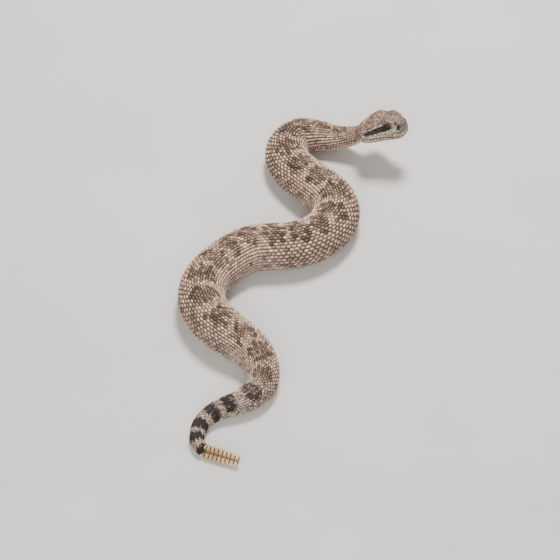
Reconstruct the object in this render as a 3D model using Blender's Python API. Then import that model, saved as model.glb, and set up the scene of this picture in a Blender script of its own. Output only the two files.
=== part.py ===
"""A life-size rattlesnake at rest: the body lies in five bends on its belly, the neck lifts the head, and the
rattle lies rolled on its side. Metres, +Z up, the belly at Z = 0, the origin under the middle of the plan."""

import math

import bmesh
import bpy
import numpy as np
from mathutils import Matrix, Quaternion, Vector

# The pose: the spine's line on the floor, from the back of the head to the root of the rattle.
ROUTE = (
    (0.0835, 0.1815), (0.070, 0.1853), (0.055, 0.190), (0.037, 0.194), (0.020, 0.191), (0.009, 0.177),
    (0.008, 0.155), (0.018, 0.135), (0.035, 0.116), (0.051, 0.097), (0.057, 0.077), (0.049, 0.054),
    (0.028, 0.035), (0.000, 0.028), (-0.028, 0.025), (-0.053, 0.009), (-0.072, -0.015), (-0.077, -0.041),
    (-0.067, -0.068), (-0.047, -0.090), (-0.028, -0.107), (-0.017, -0.129), (-0.019, -0.151),
    (-0.037, -0.167), (-0.058, -0.176), (-0.0725, -0.1885), (-0.0780, -0.2060), (-0.0765, -0.2155),
    (-0.0720, -0.2220),
)
PLAN_CENTRE = (0.0162, -0.0127)  # the middle of the whole plan, which becomes the origin

# The body
BODY_WIDTH = 0.050  # at the thickest
WIDTH_SHARES = (  # share of the body's length from the head, share of the greatest width
    (0.0, 0.40), (0.04, 0.56), (0.09, 0.77), (0.18, 0.92), (0.26, 0.985), (0.36, 0.98), (0.46, 1.0),
    (0.56, 0.95), (0.66, 0.95), (0.72, 0.92), (0.80, 0.68), (0.87, 0.51), (0.94, 0.35), (1.0, 0.25),
)
HEIGHT_SHARE = 0.86  # height over width
BELLY_CUT = 0.07  # share of the oval section that the flat belly takes off
LOW_BULGE = 0.05  # how much wider the flanks are low down than high up
HALF_SECTION_DEGREES = (0, 24, 48, 71, 93, 114, 132, 148, 164, 180)  # from the middle of the back
NECK_LIFTS = (  # distance from the head, rise of the spine above its resting height
    (0.0, 0.0210), (0.006, 0.0166), (0.014, 0.0113), (0.024, 0.0063), (0.036, 0.0027), (0.050, 0.0007),
    (0.065, 0.0), (0.075, 0.0),
)
HEAD_ROLL = math.radians(15)  # the right side of the head is the higher one
ROLL_LENGTH = 0.060  # of the neck that turns with the head
NAPE_BEND = math.radians(22)  # how far the head lies less steep than the end of the neck

# Belly scutes
SCUTE_PITCH = 0.009
SCUTE_STEP = 0.0005
SCUTE_RAMP = 0.35  # share of a scute that slopes down from under the one in front
SCUTE_EDGE_ANGLE = math.radians(122)  # from the middle of the back, where the scutes begin
STEP_LENGTH = 0.0004
NODE_GAP = 0.0003

# Lengths of the body, each with the share of the body's length where it ends
LENGTHS = (
    ("neck", 0.115), ("torso_1", 0.24), ("torso_2", 0.36), ("torso_3", 0.49), ("torso_4", 0.62),
    ("torso_5", 0.735), ("torso_6", 0.84), ("tail_1", 0.925), ("tail_2", 1.0),
)

# The head, measured forward from the neck's end and up from its middle
HEAD_LENGTH = 0.0536
NAPE_SHARE = 0.3  # share of the head's length over which the nape bends
SNOUT_START = 0.86  # share of the head's length where the blunt snout begins to close
HEAD_STATIONS = (0.0, 0.04, 0.08, 0.13, 0.18, 0.24, 0.31, 0.39, 0.47, 0.55, 0.62, 0.69, 0.76, 0.83, 0.89,
                 0.94, 0.975, 0.995)
HALF_WIDTHS = ((0, 0.0100), (0.07, 0.0132), (0.14, 0.0174), (0.21, 0.0204), (0.3, 0.0216), (0.4, 0.0207),
               (0.5, 0.0184), (0.6, 0.0158), (0.72, 0.0138), (0.82, 0.0128), (0.92, 0.0120), (1.0, 0.0114))
TOPS = ((0, 0.0086), (0.1, 0.0132), (0.2, 0.0178), (0.3, 0.0206), (0.45, 0.0217), (0.6, 0.0213),
        (0.7, 0.0204), (0.8, 0.0195), (0.9, 0.0184), (1.0, 0.0172))
MOUTHS = ((0, 0.0020), (0.15, 0.0040), (0.3, 0.0050), (0.5, 0.0050), (0.7, 0.0048), (0.85, 0.0048),
          (1.0, 0.0050))
CHINS = ((0, -0.0086), (0.1, -0.0062), (0.2, -0.0036), (0.35, -0.0018), (0.55, -0.0010), (0.75, -0.0004),
         (0.9, 0.0002), (1.0, 0.0006))
HEAD_POINTS = 28
JAW_START = 0.22  # share of the head's length where the mouth ends

EYE_DIAMETER = 0.0060
EYE_PLACE = (0.0376, 0.0165)
EYE_DEPTH = 0.0022  # how far the eye's middle lies inside the cheek
BROW_SIZE = (0.0116, 0.0056, 0.0026)
PIT_PLACE = (0.0486, 0.0142)
PIT_DIAMETER = 0.0026
NOSTRIL_PLACE = (0.0520, 0.0160)
NOSTRIL_DIAMETER = 0.0014
HOLES = (("pit", PIT_PLACE, PIT_DIAMETER), ("nostril", NOSTRIL_PLACE, NOSTRIL_DIAMETER))

# The rattle
SEGMENTS = 8
SEGMENT_PITCH = 0.0041
RATTLE_HEIGHT = 0.0122
RATTLE_THICKNESS = 0.0070
RATTLE_HEADING = math.radians(-21)
RATTLE_ROLL = math.radians(-40)
RATTLE_RISE = 0.0012  # of its axis above the tail's
RATTLE_BEND = 0.006  # length over which it turns out of the tail's line
RATTLE_POINTS = 20

# Colours as red, green and blue, then roughness
SKIN = ((0.36, 0.27, 0.20), 0.7)
PALE_SKIN = ((0.42, 0.36, 0.30), 0.65)
DARK_SKIN = ((0.20, 0.17, 0.15), 0.7)
HORN = ((0.62, 0.44, 0.24), 0.45)
EYE = ((0.03, 0.025, 0.02), 0.12)


def spline(knots, values):
    """A natural cubic curve through the values at the knots, as a function."""
    knots = np.array(knots, float)
    values = np.array(values, float)
    gaps = np.diff(knots)
    slopes = (np.diff(values, axis=0).T / gaps).T
    system = np.eye(len(knots))
    wanted = np.zeros_like(values)
    for i in range(1, len(knots) - 1):
        system[i, i - 1:i + 2] = gaps[i - 1], 2 * (gaps[i - 1] + gaps[i]), gaps[i]
        wanted[i] = 6 * (slopes[i] - slopes[i - 1])
    bends = np.linalg.solve(system, wanted)

    def at(x):
        i = min(max(int(np.searchsorted(knots, x)) - 1, 0), len(gaps) - 1)
        a, b = (knots[i + 1] - x) / gaps[i], (x - knots[i]) / gaps[i]
        curve = ((a**3 - a) * bends[i] + (b**3 - b) * bends[i + 1]) * gaps[i] ** 2 / 6
        return a * values[i] + b * values[i + 1] + curve

    return at


def through(pairs):
    """The smooth curve through (place, value) pairs."""
    return spline([place for place, _ in pairs], [value for _, value in pairs])


def measured_route():
    """The route as (distances, points), finely sampled along a smooth curve."""
    points = np.array(ROUTE) - np.array(PLAN_CENTRE)
    chords = np.concatenate([[0], np.cumsum(np.linalg.norm(np.diff(points, axis=0), axis=1))])
    curve = spline(chords, points)
    fine = np.array([curve(c) for c in np.linspace(0, chords[-1], 3000)])
    return np.concatenate([[0], np.cumsum(np.linalg.norm(np.diff(fine, axis=0), axis=1))]), fine


DISTANCES, LINE = measured_route()
BODY_LENGTH = DISTANCES[-1]
width_share = through(WIDTH_SHARES)
half_width_at = through(HALF_WIDTHS)
top_at = through(TOPS)
mouth_at = through(MOUTHS)
chin_at = through(CHINS)
neck_lift = through(NECK_LIFTS)


def width(s):
    return BODY_WIDTH * float(width_share(s / BODY_LENGTH))


def lift(s):
    """Rise of the spine above its resting height, from nothing on the floor to the most at the head."""
    return max(0.0, float(neck_lift(s))) if s < NECK_LIFTS[-2][0] else 0.0


def roll(s):
    """How far the section is turned about the spine, so that the right side of the head is higher."""
    t = max(0.0, 1 - s / ROLL_LENGTH)
    return -HEAD_ROLL * t * t * (3 - 2 * t)


def oval_height(s):
    """Height of the section's oval before the belly is cut flat."""
    return HEIGHT_SHARE * width(s) / (1 - BELLY_CUT)


def middle_height(s):
    """Height of the section's widest level above the floor."""
    return oval_height(s) * (0.5 - BELLY_CUT) + lift(s)


def spine(s):
    """Where the middle of the section at s is, with its forward (headward), left and up directions."""
    step = 0.0005
    before, after = max(s - step, 0), min(s + step, BODY_LENGTH)

    def on_floor(d):
        return np.array([np.interp(d, DISTANCES, LINE[:, 0]), np.interp(d, DISTANCES, LINE[:, 1])])

    flat = on_floor(before) - on_floor(after)
    ahead = Vector((flat[0], flat[1], lift(before) - lift(after))).normalized()
    left = Vector((0, 0, 1)).cross(ahead).normalized()
    left.rotate(Quaternion(ahead, roll(s)))
    here = on_floor(s)
    return Vector((here[0], here[1], middle_height(s))), ahead, left, ahead.cross(left)


def section_angles():
    """Angles all round the section, from the middle of the back."""
    degrees = HALF_SECTION_DEGREES + tuple(360 - a for a in HALF_SECTION_DEGREES[-2:0:-1])
    return [math.radians(a) for a in degrees]


def body_section(s, rise):
    """The section at s as points. Its scutes are drawn in by rise."""
    place, _, left, up = spine(s)
    oval = oval_height(s)
    points = []
    for angle in section_angles():
        from_back = min(angle, 2 * math.pi - angle)
        drawn_in = rise if from_back >= SCUTE_EDGE_ANGLE else 0.0
        side = (width(s) / 2 - drawn_in) * math.sin(angle) * (1 - LOW_BULGE * math.cos(angle))
        height = (oval / 2 - drawn_in) * math.cos(angle)
        height = max(height, drawn_in - oval * (0.5 - BELLY_CUT))
        points.append(place - left * side + up * height)
    return points


def loft(name, sections):
    """A closed mesh through sections of equal numbers of points, capped flat at both ends."""
    mesh = bmesh.new()
    rings = [[mesh.verts.new(point) for point in section] for section in sections]
    count = len(rings[0])
    for one, two in zip(rings, rings[1:]):
        for i in range(count):
            j = (i + 1) % count
            mesh.faces.new((one[i], one[j], two[j], two[i]))
    mesh.faces.new(rings[0][::-1])
    mesh.faces.new(rings[-1])
    bmesh.ops.recalc_face_normals(mesh, faces=mesh.faces)
    data = bpy.data.meshes.new(name)
    mesh.to_mesh(data)
    mesh.free()
    return data


def material(name, look):
    """A Principled material from ((red, green, blue), roughness)."""
    colour, roughness = look
    made = bpy.data.materials.new(name)
    made.use_nodes = True
    shader = made.node_tree.nodes["Principled BSDF"]
    shader.inputs["Base Color"].default_value = (*colour, 1)
    shader.inputs["Roughness"].default_value = roughness
    return made


def add(name, data, collection, look):
    part = bpy.data.objects.new(name, data)
    part.data.materials.append(look)
    collection.objects.link(part)
    return part


def scute_places():
    """Where each belly scute begins, counted from the head."""
    count = round(BODY_LENGTH / SCUTE_PITCH)
    return np.linspace(0, BODY_LENGTH, count + 1)


def length_sections(first, last, starts):
    """Sections of the body from scute number first up to scute number last."""
    sections = []
    for i in range(first, last):
        begin, end = starts[i], starts[i + 1]
        sections.append(body_section(begin + NODE_GAP / 2, SCUTE_STEP))
        sections.append(body_section(begin + SCUTE_RAMP * (end - begin), 0))
        back_off = NODE_GAP / 2 if i == last - 1 else STEP_LENGTH - NODE_GAP / 2
        sections.append(body_section(end - back_off, 0))
    return sections


def build_body(collection, looks):
    starts = scute_places()
    first = 0
    for name, share in LENGTHS:
        last = int(np.argmin(abs(starts - share * BODY_LENGTH)))
        add(name, loft(name, length_sections(first, last, starts)), collection, looks[name])
        first = last


def head_frame():
    """From the head's own axes, X towards the snout and Z up, to the part's."""
    place, ahead, left, up = spine(0)
    bend = Quaternion(left, NAPE_BEND)
    ahead.rotate(bend)
    up.rotate(bend)
    turn = Matrix((ahead, left, up)).transposed().to_4x4()
    return Matrix.Translation(place) @ turn


def nape_bend(share):
    """How far the section is leant back from the head's own axes towards the neck's."""
    t = max(0.0, 1 - share / NAPE_SHARE)
    return NAPE_BEND * t * t * (3 - 2 * t)


def snout_close(share):
    """1 along the head, shrinking over the blunt snout."""
    t = max(0.0, (share - SNOUT_START) / (1 - SNOUT_START))
    return (1 - t**3.0) ** (1 / 3.0)


def boxiness(share):
    """Exponent of the head's section: 2 is an oval, and more is squarer."""
    return 2.1 + 1.3 * math.sin(math.pi * share)


def head_section(share):
    """The head's section, a rounded box above the mouth and a shallower one below."""
    close = snout_close(share)
    middle = float(mouth_at(share))
    half, top, chin = (float(f(share)) for f in (half_width_at, top_at, chin_at))
    power = 2 / boxiness(share)
    centre = (top + chin) / 2
    lean = nape_bend(share)
    points = []
    for i in range(HEAD_POINTS):
        angle = 2 * math.pi * i / HEAD_POINTS
        across = math.copysign(abs(math.sin(angle)) ** power, math.sin(angle))
        along = math.copysign(abs(math.cos(angle)) ** power, math.cos(angle))
        tall = (top - middle) if along >= 0 else (middle - chin)
        height = middle + along * tall * close - centre
        ahead = share * HEAD_LENGTH - height * math.sin(lean)
        points.append(Vector((ahead, -across * half * close, centre + height * math.cos(lean))))
    return points


def solid(name, data, cutters):
    """An unlisted object that only shapes other pieces."""
    made = bpy.data.objects.new(name, data)
    made.hide_render = True
    made.display_type = "WIRE"
    cutters.objects.link(made)
    return made


def ball(name, place, radii, cutters, segments=14, rings=8):
    mesh = bmesh.new()
    bmesh.ops.create_uvsphere(mesh, u_segments=segments, v_segments=rings, radius=1)
    mesh.transform(Matrix.Translation(place) @ Matrix.Diagonal((*radii, 1)))
    data = bpy.data.meshes.new(name)
    mesh.to_mesh(data)
    mesh.free()
    return solid(name, data, cutters)


def boolean(part, operation, other):
    change = part.modifiers.new(other.name, "BOOLEAN")
    change.operation = operation
    change.object = other
    change.solver = "EXACT"


def jaw_block(name, gap, cutters):
    """A block under the mouth's line, from the corner of the mouth to past the snout, drawn back by gap."""
    shares = np.linspace(JAW_START, 1.04, 14)
    upper = [(x * HEAD_LENGTH, float(mouth_at(min(x, 1))) - gap) for x in shares]
    upper[0] = (upper[0][0] + gap, upper[0][1])
    below = -0.02
    outline = upper + [(upper[-1][0], below), (upper[0][0] - 0.004, below)]
    mesh = bmesh.new()
    wide = 0.03
    sides = [[mesh.verts.new((x, y, z)) for x, z in outline] for y in (-wide, wide)]
    count = len(outline)
    for i in range(count):
        j = (i + 1) % count
        mesh.faces.new((sides[0][i], sides[0][j], sides[1][j], sides[1][i]))
    mesh.faces.new(sides[0][::-1])
    mesh.faces.new(sides[1])
    bmesh.ops.recalc_face_normals(mesh, faces=mesh.faces)
    data = bpy.data.meshes.new(name)
    mesh.to_mesh(data)
    mesh.free()
    return solid(name, data, cutters)


def cheek_at(share, height):
    """Half width of the head's skin at a height above the neck's middle."""
    middle, top = float(mouth_at(share)), float(top_at(share))
    up = min(1, max(0, (height - middle) / (top - middle)))
    power = boxiness(share)
    return float(half_width_at(share)) * snout_close(share) * (1 - up**power) ** (1 / power)


def build_head(collection, cutters, looks):
    frame = head_frame()
    sections = [head_section(share) for share in HEAD_STATIONS]
    apart = Vector((math.cos(NAPE_BEND), 0, math.sin(NAPE_BEND))) * NODE_GAP / 2
    sections[0] = [point + apart for point in sections[0]]
    head = add("head", loft("head", sections), collection, looks["head"])
    jaw = add("lower_jaw", head.data.copy(), collection, looks["lower_jaw"])
    boolean(head, "DIFFERENCE", jaw_block("mouth_cutter", 0, cutters))
    boolean(jaw, "INTERSECT", jaw_block("jaw_block", NODE_GAP, cutters))
    for side, name in ((1, "left"), (-1, "right")):
        forward, height = EYE_PLACE
        out = side * (cheek_at(forward / HEAD_LENGTH, height) - EYE_DEPTH)
        place = Vector((forward, out, height))
        radius = EYE_DIAMETER / 2
        brow = Vector((forward + 0.0008, side * (abs(out) + 0.0002), height + radius + 0.0002))
        boolean(head, "UNION", ball(f"brow_{name}", brow, [d / 2 for d in BROW_SIZE], cutters, 14, 8))
        boolean(head, "DIFFERENCE", ball(f"socket_{name}", place, [radius + NODE_GAP] * 3, cutters))
        for what, (ahead, up), size in HOLES:
            edge = Vector((ahead, side * cheek_at(ahead / HEAD_LENGTH, up), up))
            boolean(head, "DIFFERENCE", ball(f"{what}_{name}", edge, [size / 2] * 3, cutters, 10, 6))
        eye = ball(f"eye_{name}", place, [radius] * 3, cutters)
        cutters.objects.unlink(eye)
        eye.hide_render = False
        eye.display_type = "TEXTURED"
        eye.data.materials.append(looks["eye"])
        collection.objects.link(eye)
        eye.matrix_world = frame
    for piece in (head, jaw, *cutters.objects):
        piece.matrix_world = frame


def rattle_frames(stops):
    """Where the rattle's sections are: out of the tail's end, round a bend, then straight."""
    place, ahead, _, _ = spine(BODY_LENGTH)
    place = place - ahead * NODE_GAP / 2
    start = math.atan2(-ahead.y, -ahead.x)
    along = np.linspace(0, stops[-1], 400)
    turned = np.minimum(1, along / RATTLE_BEND)
    turned = turned * turned * (3 - 2 * turned)
    heading = start + (RATTLE_HEADING - start) * turned
    x, y = np.cumsum(np.cos(heading)) * along[1], np.cumsum(np.sin(heading)) * along[1]
    frames = []
    for stop in stops:
        out, across, angle, rise = (float(np.interp(stop, along, line)) for line in (x, y, heading, turned))
        shift = Matrix.Translation(place + Vector((out, across, RATTLE_RISE * rise)))
        frames.append(shift @ Matrix.Rotation(angle, 4, "Z") @ Matrix.Rotation(RATTLE_ROLL, 4, "X"))
    return frames


def rattle_section(size):
    """A section of the rattle: two lobes with a groove between them on each side."""
    points = []
    for i in range(RATTLE_POINTS):
        angle = 2 * math.pi * i / RATTLE_POINTS
        groove = 1 - 0.30 * math.exp(-((math.cos(angle) / 0.30) ** 2))
        across = RATTLE_THICKNESS / 2 * size * math.sin(angle) * groove
        tall = RATTLE_HEIGHT / 2 * size * math.copysign(abs(math.cos(angle)) ** 0.85, math.cos(angle))
        points.append(Vector((0, -across, tall)))
    return points


def build_rattle(collection, look):
    """Segments that each flare, hold and pinch, in one closed string with a rounded tip."""
    stops = []
    for i in range(SEGMENTS):
        full = 1.0 - 0.035 * max(0, i - 4) ** 1.5
        for share, size in ((0.0, 0.74), (0.2, 0.95), (0.55, 1.0), (0.88, 0.9)):
            stops.append(((i + share) * SEGMENT_PITCH, full * size))
    end = SEGMENTS * SEGMENT_PITCH
    stops += [(end, 0.6), (end + 0.0008, 0.5), (end + 0.0018, 0.28)]
    frames = rattle_frames([along for along, _ in stops])
    sections = [[frame @ point for point in rattle_section(size)] for frame, (_, size) in zip(frames, stops)]
    add("rattle", loft("rattle", sections), collection, look)


def main():
    for thing in list(bpy.data.objects):
        bpy.data.objects.remove(thing)
    collection = bpy.data.collections.new("rattlesnake")
    cutters = bpy.data.collections.new("cutters")
    for group in (collection, cutters):
        bpy.context.scene.collection.children.link(group)
    skin = material("skin", SKIN)
    pale = material("pale_skin", PALE_SKIN)
    dark = material("dark_skin", DARK_SKIN)
    looks = {name: dark if name.startswith("tail") else skin for name, _ in LENGTHS}
    looks.update(head=skin, lower_jaw=pale, eye=material("eye", EYE))
    build_body(collection, looks)
    build_head(collection, cutters, looks)
    build_rattle(collection, material("horn", HORN))


main()
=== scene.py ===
"""The visible rattlesnake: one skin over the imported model's solids, a coat of solid scales with the same
markings, head plates, eyes and a horn rattle, on a plain pale floor. Metres, in the part's own frame."""

import math

import bpy
import numpy as np
from mathutils import Matrix, Quaternion, Vector
from mathutils.bvhtree import BVHTree


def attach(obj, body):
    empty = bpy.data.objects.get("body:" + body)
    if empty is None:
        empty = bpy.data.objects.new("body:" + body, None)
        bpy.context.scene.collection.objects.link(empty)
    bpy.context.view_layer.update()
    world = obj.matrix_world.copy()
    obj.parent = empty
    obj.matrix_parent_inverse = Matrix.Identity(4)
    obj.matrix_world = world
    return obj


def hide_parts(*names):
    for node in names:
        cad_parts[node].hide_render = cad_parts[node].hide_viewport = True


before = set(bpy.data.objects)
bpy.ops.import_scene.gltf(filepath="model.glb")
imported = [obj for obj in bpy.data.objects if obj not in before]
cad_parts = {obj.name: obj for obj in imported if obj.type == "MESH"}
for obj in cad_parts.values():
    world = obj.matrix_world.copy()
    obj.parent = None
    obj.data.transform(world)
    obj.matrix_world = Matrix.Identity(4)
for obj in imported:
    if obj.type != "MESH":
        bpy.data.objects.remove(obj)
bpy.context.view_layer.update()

# The solids' own values, repeated from the part's source
ROUTE = (
    (0.0835, 0.1815), (0.070, 0.1853), (0.055, 0.190), (0.037, 0.194), (0.020, 0.191), (0.009, 0.177),
    (0.008, 0.155), (0.018, 0.135), (0.035, 0.116), (0.051, 0.097), (0.057, 0.077), (0.049, 0.054),
    (0.028, 0.035), (0.000, 0.028), (-0.028, 0.025), (-0.053, 0.009), (-0.072, -0.015), (-0.077, -0.041),
    (-0.067, -0.068), (-0.047, -0.090), (-0.028, -0.107), (-0.017, -0.129), (-0.019, -0.151),
    (-0.037, -0.167), (-0.058, -0.176), (-0.0725, -0.1885), (-0.0780, -0.2060), (-0.0765, -0.2155),
    (-0.0720, -0.2220),
)
PLAN_CENTRE = (0.0162, -0.0127)
ROUTE_SAMPLES = 3000  # along the whole route
BODY_WIDTH = 0.050
WIDTH_SHARES = (
    (0.0, 0.40), (0.04, 0.56), (0.09, 0.77), (0.18, 0.92), (0.26, 0.985), (0.36, 0.98), (0.46, 1.0),
    (0.56, 0.95), (0.66, 0.95), (0.72, 0.92), (0.80, 0.68), (0.87, 0.51), (0.94, 0.35), (1.0, 0.25),
)
HEIGHT_SHARE = 0.86
BELLY_CUT = 0.07
LOW_BULGE = 0.05
NECK_LIFTS = (
    (0.0, 0.0210), (0.006, 0.0166), (0.014, 0.0113), (0.024, 0.0063), (0.036, 0.0027), (0.050, 0.0007),
    (0.065, 0.0), (0.075, 0.0),
)
SPINE_STEP = 0.0005
HEAD_ROLL = math.radians(15)
ROLL_LENGTH = 0.060
NAPE_BEND = math.radians(22)
SCUTE_EDGE_ANGLE = math.radians(122)
NODE_GAP = 0.0003
HEAD_LENGTH = 0.0536
NAPE_SHARE = 0.3
SNOUT_START = 0.86
SNOUT_POWER = 3
HALF_WIDTHS = ((0, 0.0100), (0.07, 0.0132), (0.14, 0.0174), (0.21, 0.0204), (0.3, 0.0216), (0.4, 0.0207),
               (0.5, 0.0184), (0.6, 0.0158), (0.72, 0.0138), (0.82, 0.0128), (0.92, 0.0120), (1.0, 0.0114))
TOPS = ((0, 0.0086), (0.1, 0.0132), (0.2, 0.0178), (0.3, 0.0206), (0.45, 0.0217), (0.6, 0.0213),
        (0.7, 0.0204), (0.8, 0.0195), (0.9, 0.0184), (1.0, 0.0172))
MOUTHS = ((0, 0.0020), (0.15, 0.0040), (0.3, 0.0050), (0.5, 0.0050), (0.7, 0.0048), (0.85, 0.0048),
          (1.0, 0.0050))
CHINS = ((0, -0.0086), (0.1, -0.0062), (0.2, -0.0036), (0.35, -0.0018), (0.55, -0.0010), (0.75, -0.0004),
         (0.9, 0.0002), (1.0, 0.0006))
JAW_START = 0.22
EYE_DIAMETER = 0.0060
EYE_PLACE = (0.0376, 0.0165)  # ahead of the nape and above it
EYE_DEPTH = 0.0022
PIT_PLACE = (0.0486, 0.0142)
NOSTRIL_PLACE = (0.0520, 0.0160)
SEGMENTS = 8
SEGMENT_PITCH = 0.0041
RATTLE_HEIGHT = 0.0122
RATTLE_THICKNESS = 0.0070
RATTLE_HEADING = math.radians(-21)
RATTLE_ROLL = math.radians(-40)
RATTLE_RISE = 0.0012
RATTLE_BEND = 0.006

# The skin's grid: rings from the snout to the rattle, each measured round from the middle of the back
AROUND = 192
RING_GAP_HEAD = 0.0004
RING_GAP_BODY = 0.0020
SNOUT_RINGS = 26
SNOUT_TIP_ANGLE = math.radians(89)  # of the foremost ring, where 90 would be a point
HEAD_RINGS = 300  # rings from the snout that plates and scales of the head may lie on
FINE = 721  # samples round half a section before it is spaced evenly
SIDE_EDGE = 0.35  # share of the way round where the back's scales end and the belly's scutes begin
NAPE_BLEND = 0.006  # length each side of the nape over which the head's rings turn into the body's
COAT_DEPTH = 0.00085  # from the solids' surface down to the skin, at the thickest part of the body
THINNEST_COAT = 0.0004
FOLD_PITCH = 0.0062  # of the skin's folds along the body
FOLD_DEPTH = 0.0007
SIDES = (1, -1)  # left, right

# Sockets and openings pressed into each cheek: place, radius and depth
OPENINGS = (
    (EYE_PLACE, 0.0031, 0.0015),
    ((PIT_PLACE[0] + 0.0003, PIT_PLACE[1] + 0.0009), 0.001456, 0.0022),
    ((PIT_PLACE[0] + 0.0003, PIT_PLACE[1] - 0.0009), 0.001456, 0.0018),
    (NOSTRIL_PLACE, 0.000868, 0.0012),
)

# The coat's lattice
SEED = 11
ROWS = 14  # of scales each side of the middle one
# Share of the body where two rows a side begin (1) or end (-1), and the first of the two
ROW_PAIRS = ((0.80, 4, -1), (0.845, 6, -1), (0.11, 6, 1), (0.20, 10, 1))
ROW_CHANGE = 0.010  # half the length over which they do
NARROWEST_ROW = 0.45  # share of a full row's width below which its scales are left out
SCALE_PITCH = 0.0045  # along the body at its thickest
FLANK_WIDER = 0.35  # how much wider the lowest row is than the middle one
FIRST_ROW = -0.012  # place of the first scales, on the back of the head
COLLAR = 0.0026  # how far the scales run on past the body's end
COLLAR_REACH = 0.0042  # over which they draw in round the rattle's base
COLLAR_CLOSE = 0.52  # share of the way to the middle
PITCH_POWER = 0.75  # of the body's width, for the pitch of its scales
PITCH_ON_HEAD = 0.95
STRETCH_LIMITS = (0.35, 1.8)
PRESSED_POWER = 0.45  # how far scales keep their length where the skin is pressed together

# One scale of the body: its length in pitches, half its breadth and its rise in row widths, and their changes
SCALE_LENGTH = 1.44
SCALE_HALF = 0.575
SCALE_RISE = 0.19
RISE_LIMITS = (0.00016, 0.00080)
BEAD_SHORTER = 0.20
BEAD_NARROWER = 0.105
TAIL_NARROWER = 0.050
SCALE_JITTER = 0.03
SCALE_SKEW = 0.04
FULL_KEEL = 1.05
LOWEST_KEEL = 0.06  # in the row next to the belly
BAKE_SIZE = (0.003, 0.0015)  # of one scale on the bake map

# How the scales differ in colour
MARK_JITTER = (0.0025, 0.016)  # how far along and round from its middle a scale takes its colour
SHADE_SPREAD = 0.17
SHADE_LIMITS = (0.5, 1.4)
DARK_BELOW = 0.16  # of a draw from 0 to 1
DARK_SHADE = 0.55
LIGHT_ABOVE = 0.87
LIGHT_SHADE = 1.38
FLECKED = 0.20  # share of scales that are flecked with the pale colour
FLECK = 0.34
PIECES = (("neck", -1.0, 0.075), ("fore", 0.075, 0.20), ("middle", 0.20, 0.37), ("hind", 0.37, 0.532),
          ("tail", 0.532, 1.0))

# Belly scutes: rows of points along each, points across it, and how long it is in pitches
SCUTE_ALONG = (0.0, 0.2, 0.5, 0.8, 1.0)
SCUTE_POINTS = 33
SCUTE_REACH = 1.62
SCUTE_FIRST = -0.0015
SCUTE_END_GAP = 0.004  # from the last one to the body's end
SCUTE_LAP = 0.008  # share round that they run under the back's scales
SCUTE_THICK = 0.00022

# Markings: distances from the head of the middles of the back's blotches
BLOTCHES = (0.015, 0.036, 0.057, 0.079, 0.105, 0.134, 0.161, 0.191, 0.217, 0.240, 0.262, 0.289, 0.314,
            0.336, 0.359, 0.385, 0.413, 0.443, 0.472, 0.499, 0.524)
# The tail's rings: distance from the head of the middle, and half the length
RINGS = ((0.5440, 0.0062), (0.5675, 0.0058), (0.5855, 0.0054), (0.6045, 0.0050), (0.6188, 0.0043),
         (0.6330, 0.0036))
# Spots on the flanks: share of the way to the next blotch, share round and strength
FLANK_SPOTS = ((0.5, 0.195, 0.34), (0.0, 0.255, 0.36), (0.5, 0.315, 0.22))

# The eye's dark stripe: height of its middle, and half its depth, at distances ahead of the nape
STRIPE_MIDDLE = ((0.0150, 0.0109), (0.0200, 0.0120), (0.0240, 0.0128), (0.0280, 0.0137), (0.0320, 0.0147),
                 (0.0360, 0.0156), (0.0400, 0.0162), (0.0425, 0.0164))
STRIPE_HALF = ((0.0145, 0.0010), (0.0165, 0.0019), (0.0200, 0.0025), (0.0240, 0.0029), (0.0280, 0.0033),
               (0.0320, 0.0033), (0.0380, 0.0034), (0.0415, 0.0028), (0.0425, 0.0012))

# Colours, linear
GROUND = (0.51, 0.352, 0.258)
PALE = (0.65, 0.487, 0.385)
BROWN = (0.116, 0.073, 0.050)
DARK = (0.045, 0.030, 0.023)
FLANK = (0.495, 0.366, 0.298)
BELLY = (0.62, 0.53, 0.41)
TAIL_PALE = (0.52, 0.41, 0.345)
TAIL_DARK = (0.011, 0.008, 0.009)
CROWN = (0.270, 0.190, 0.134)
SNOUT = (0.27, 0.225, 0.195)
LIP = (0.85, 0.77, 0.69)
LIP_LOW = (0.60, 0.50, 0.42)
STRIPE = (0.034, 0.022, 0.017)
# painted shade inside the pits and nostrils
OPENING = (0.010, 0.007, 0.006)
EYE = (0.09, 0.055, 0.035)
HORN = (0.76, 0.505, 0.270)
# painted shade between the rattle's rings and in its groove
HORN_SHADE = (0.115, 0.058, 0.027)
BRIGHTEST = 0.85

# Head plates, with places ahead of the nape and above it
LIP_PLATES = 15
LIP_CORNER = 4.5
# Lip rows: way from the mouth, heights by number, how much they vary, gap to the mouth, lean and rise
LIP_ROWS = (
    (1, ((0, 0.0030), (3, 0.0036), (8, 0.0038), (14, 0.0044)), 0.08, 0.00004, 0.10, 0.00030),
    (-1, ((0, 0.0026), (4, 0.0029), (14, 0.0026)), 0.06, 0.00010, 0.0, 0.00028),
)
# Rings round the eye and the pit: middle, radii ahead and up, first and last angle with number, size and rise
CHEEK_RINGS = (
    (EYE_PLACE, (0.0038, 0.0037), (-208, 28, 11), (0.0018, 0.0015), 0.00034),
    ((PIT_PLACE[0] + 0.0003, PIT_PLACE[1]), (0.0025, 0.0033), (25, 335, 7), (0.0021, 0.0017), 0.00032),
)
# Single plates in front of the eye: place, backward direction, size
CHEEK_PLATES = (
    ((0.0436, 0.0176), (-1, 0, -0.1), (0.0034, 0.0021)),
    ((0.0436, 0.0153), (-1, 0, -0.1), (0.0030, 0.0019)),
    ((0.0470, 0.0178), (-1, 0, 0.1), (0.0032, 0.0021)),
    ((0.0502, 0.0170), (-0.6, 0, -1), (0.0028, 0.0022)),
    ((0.0526, 0.0140), (-0.2, 0, -1), (0.0032, 0.0024)),
)
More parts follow.
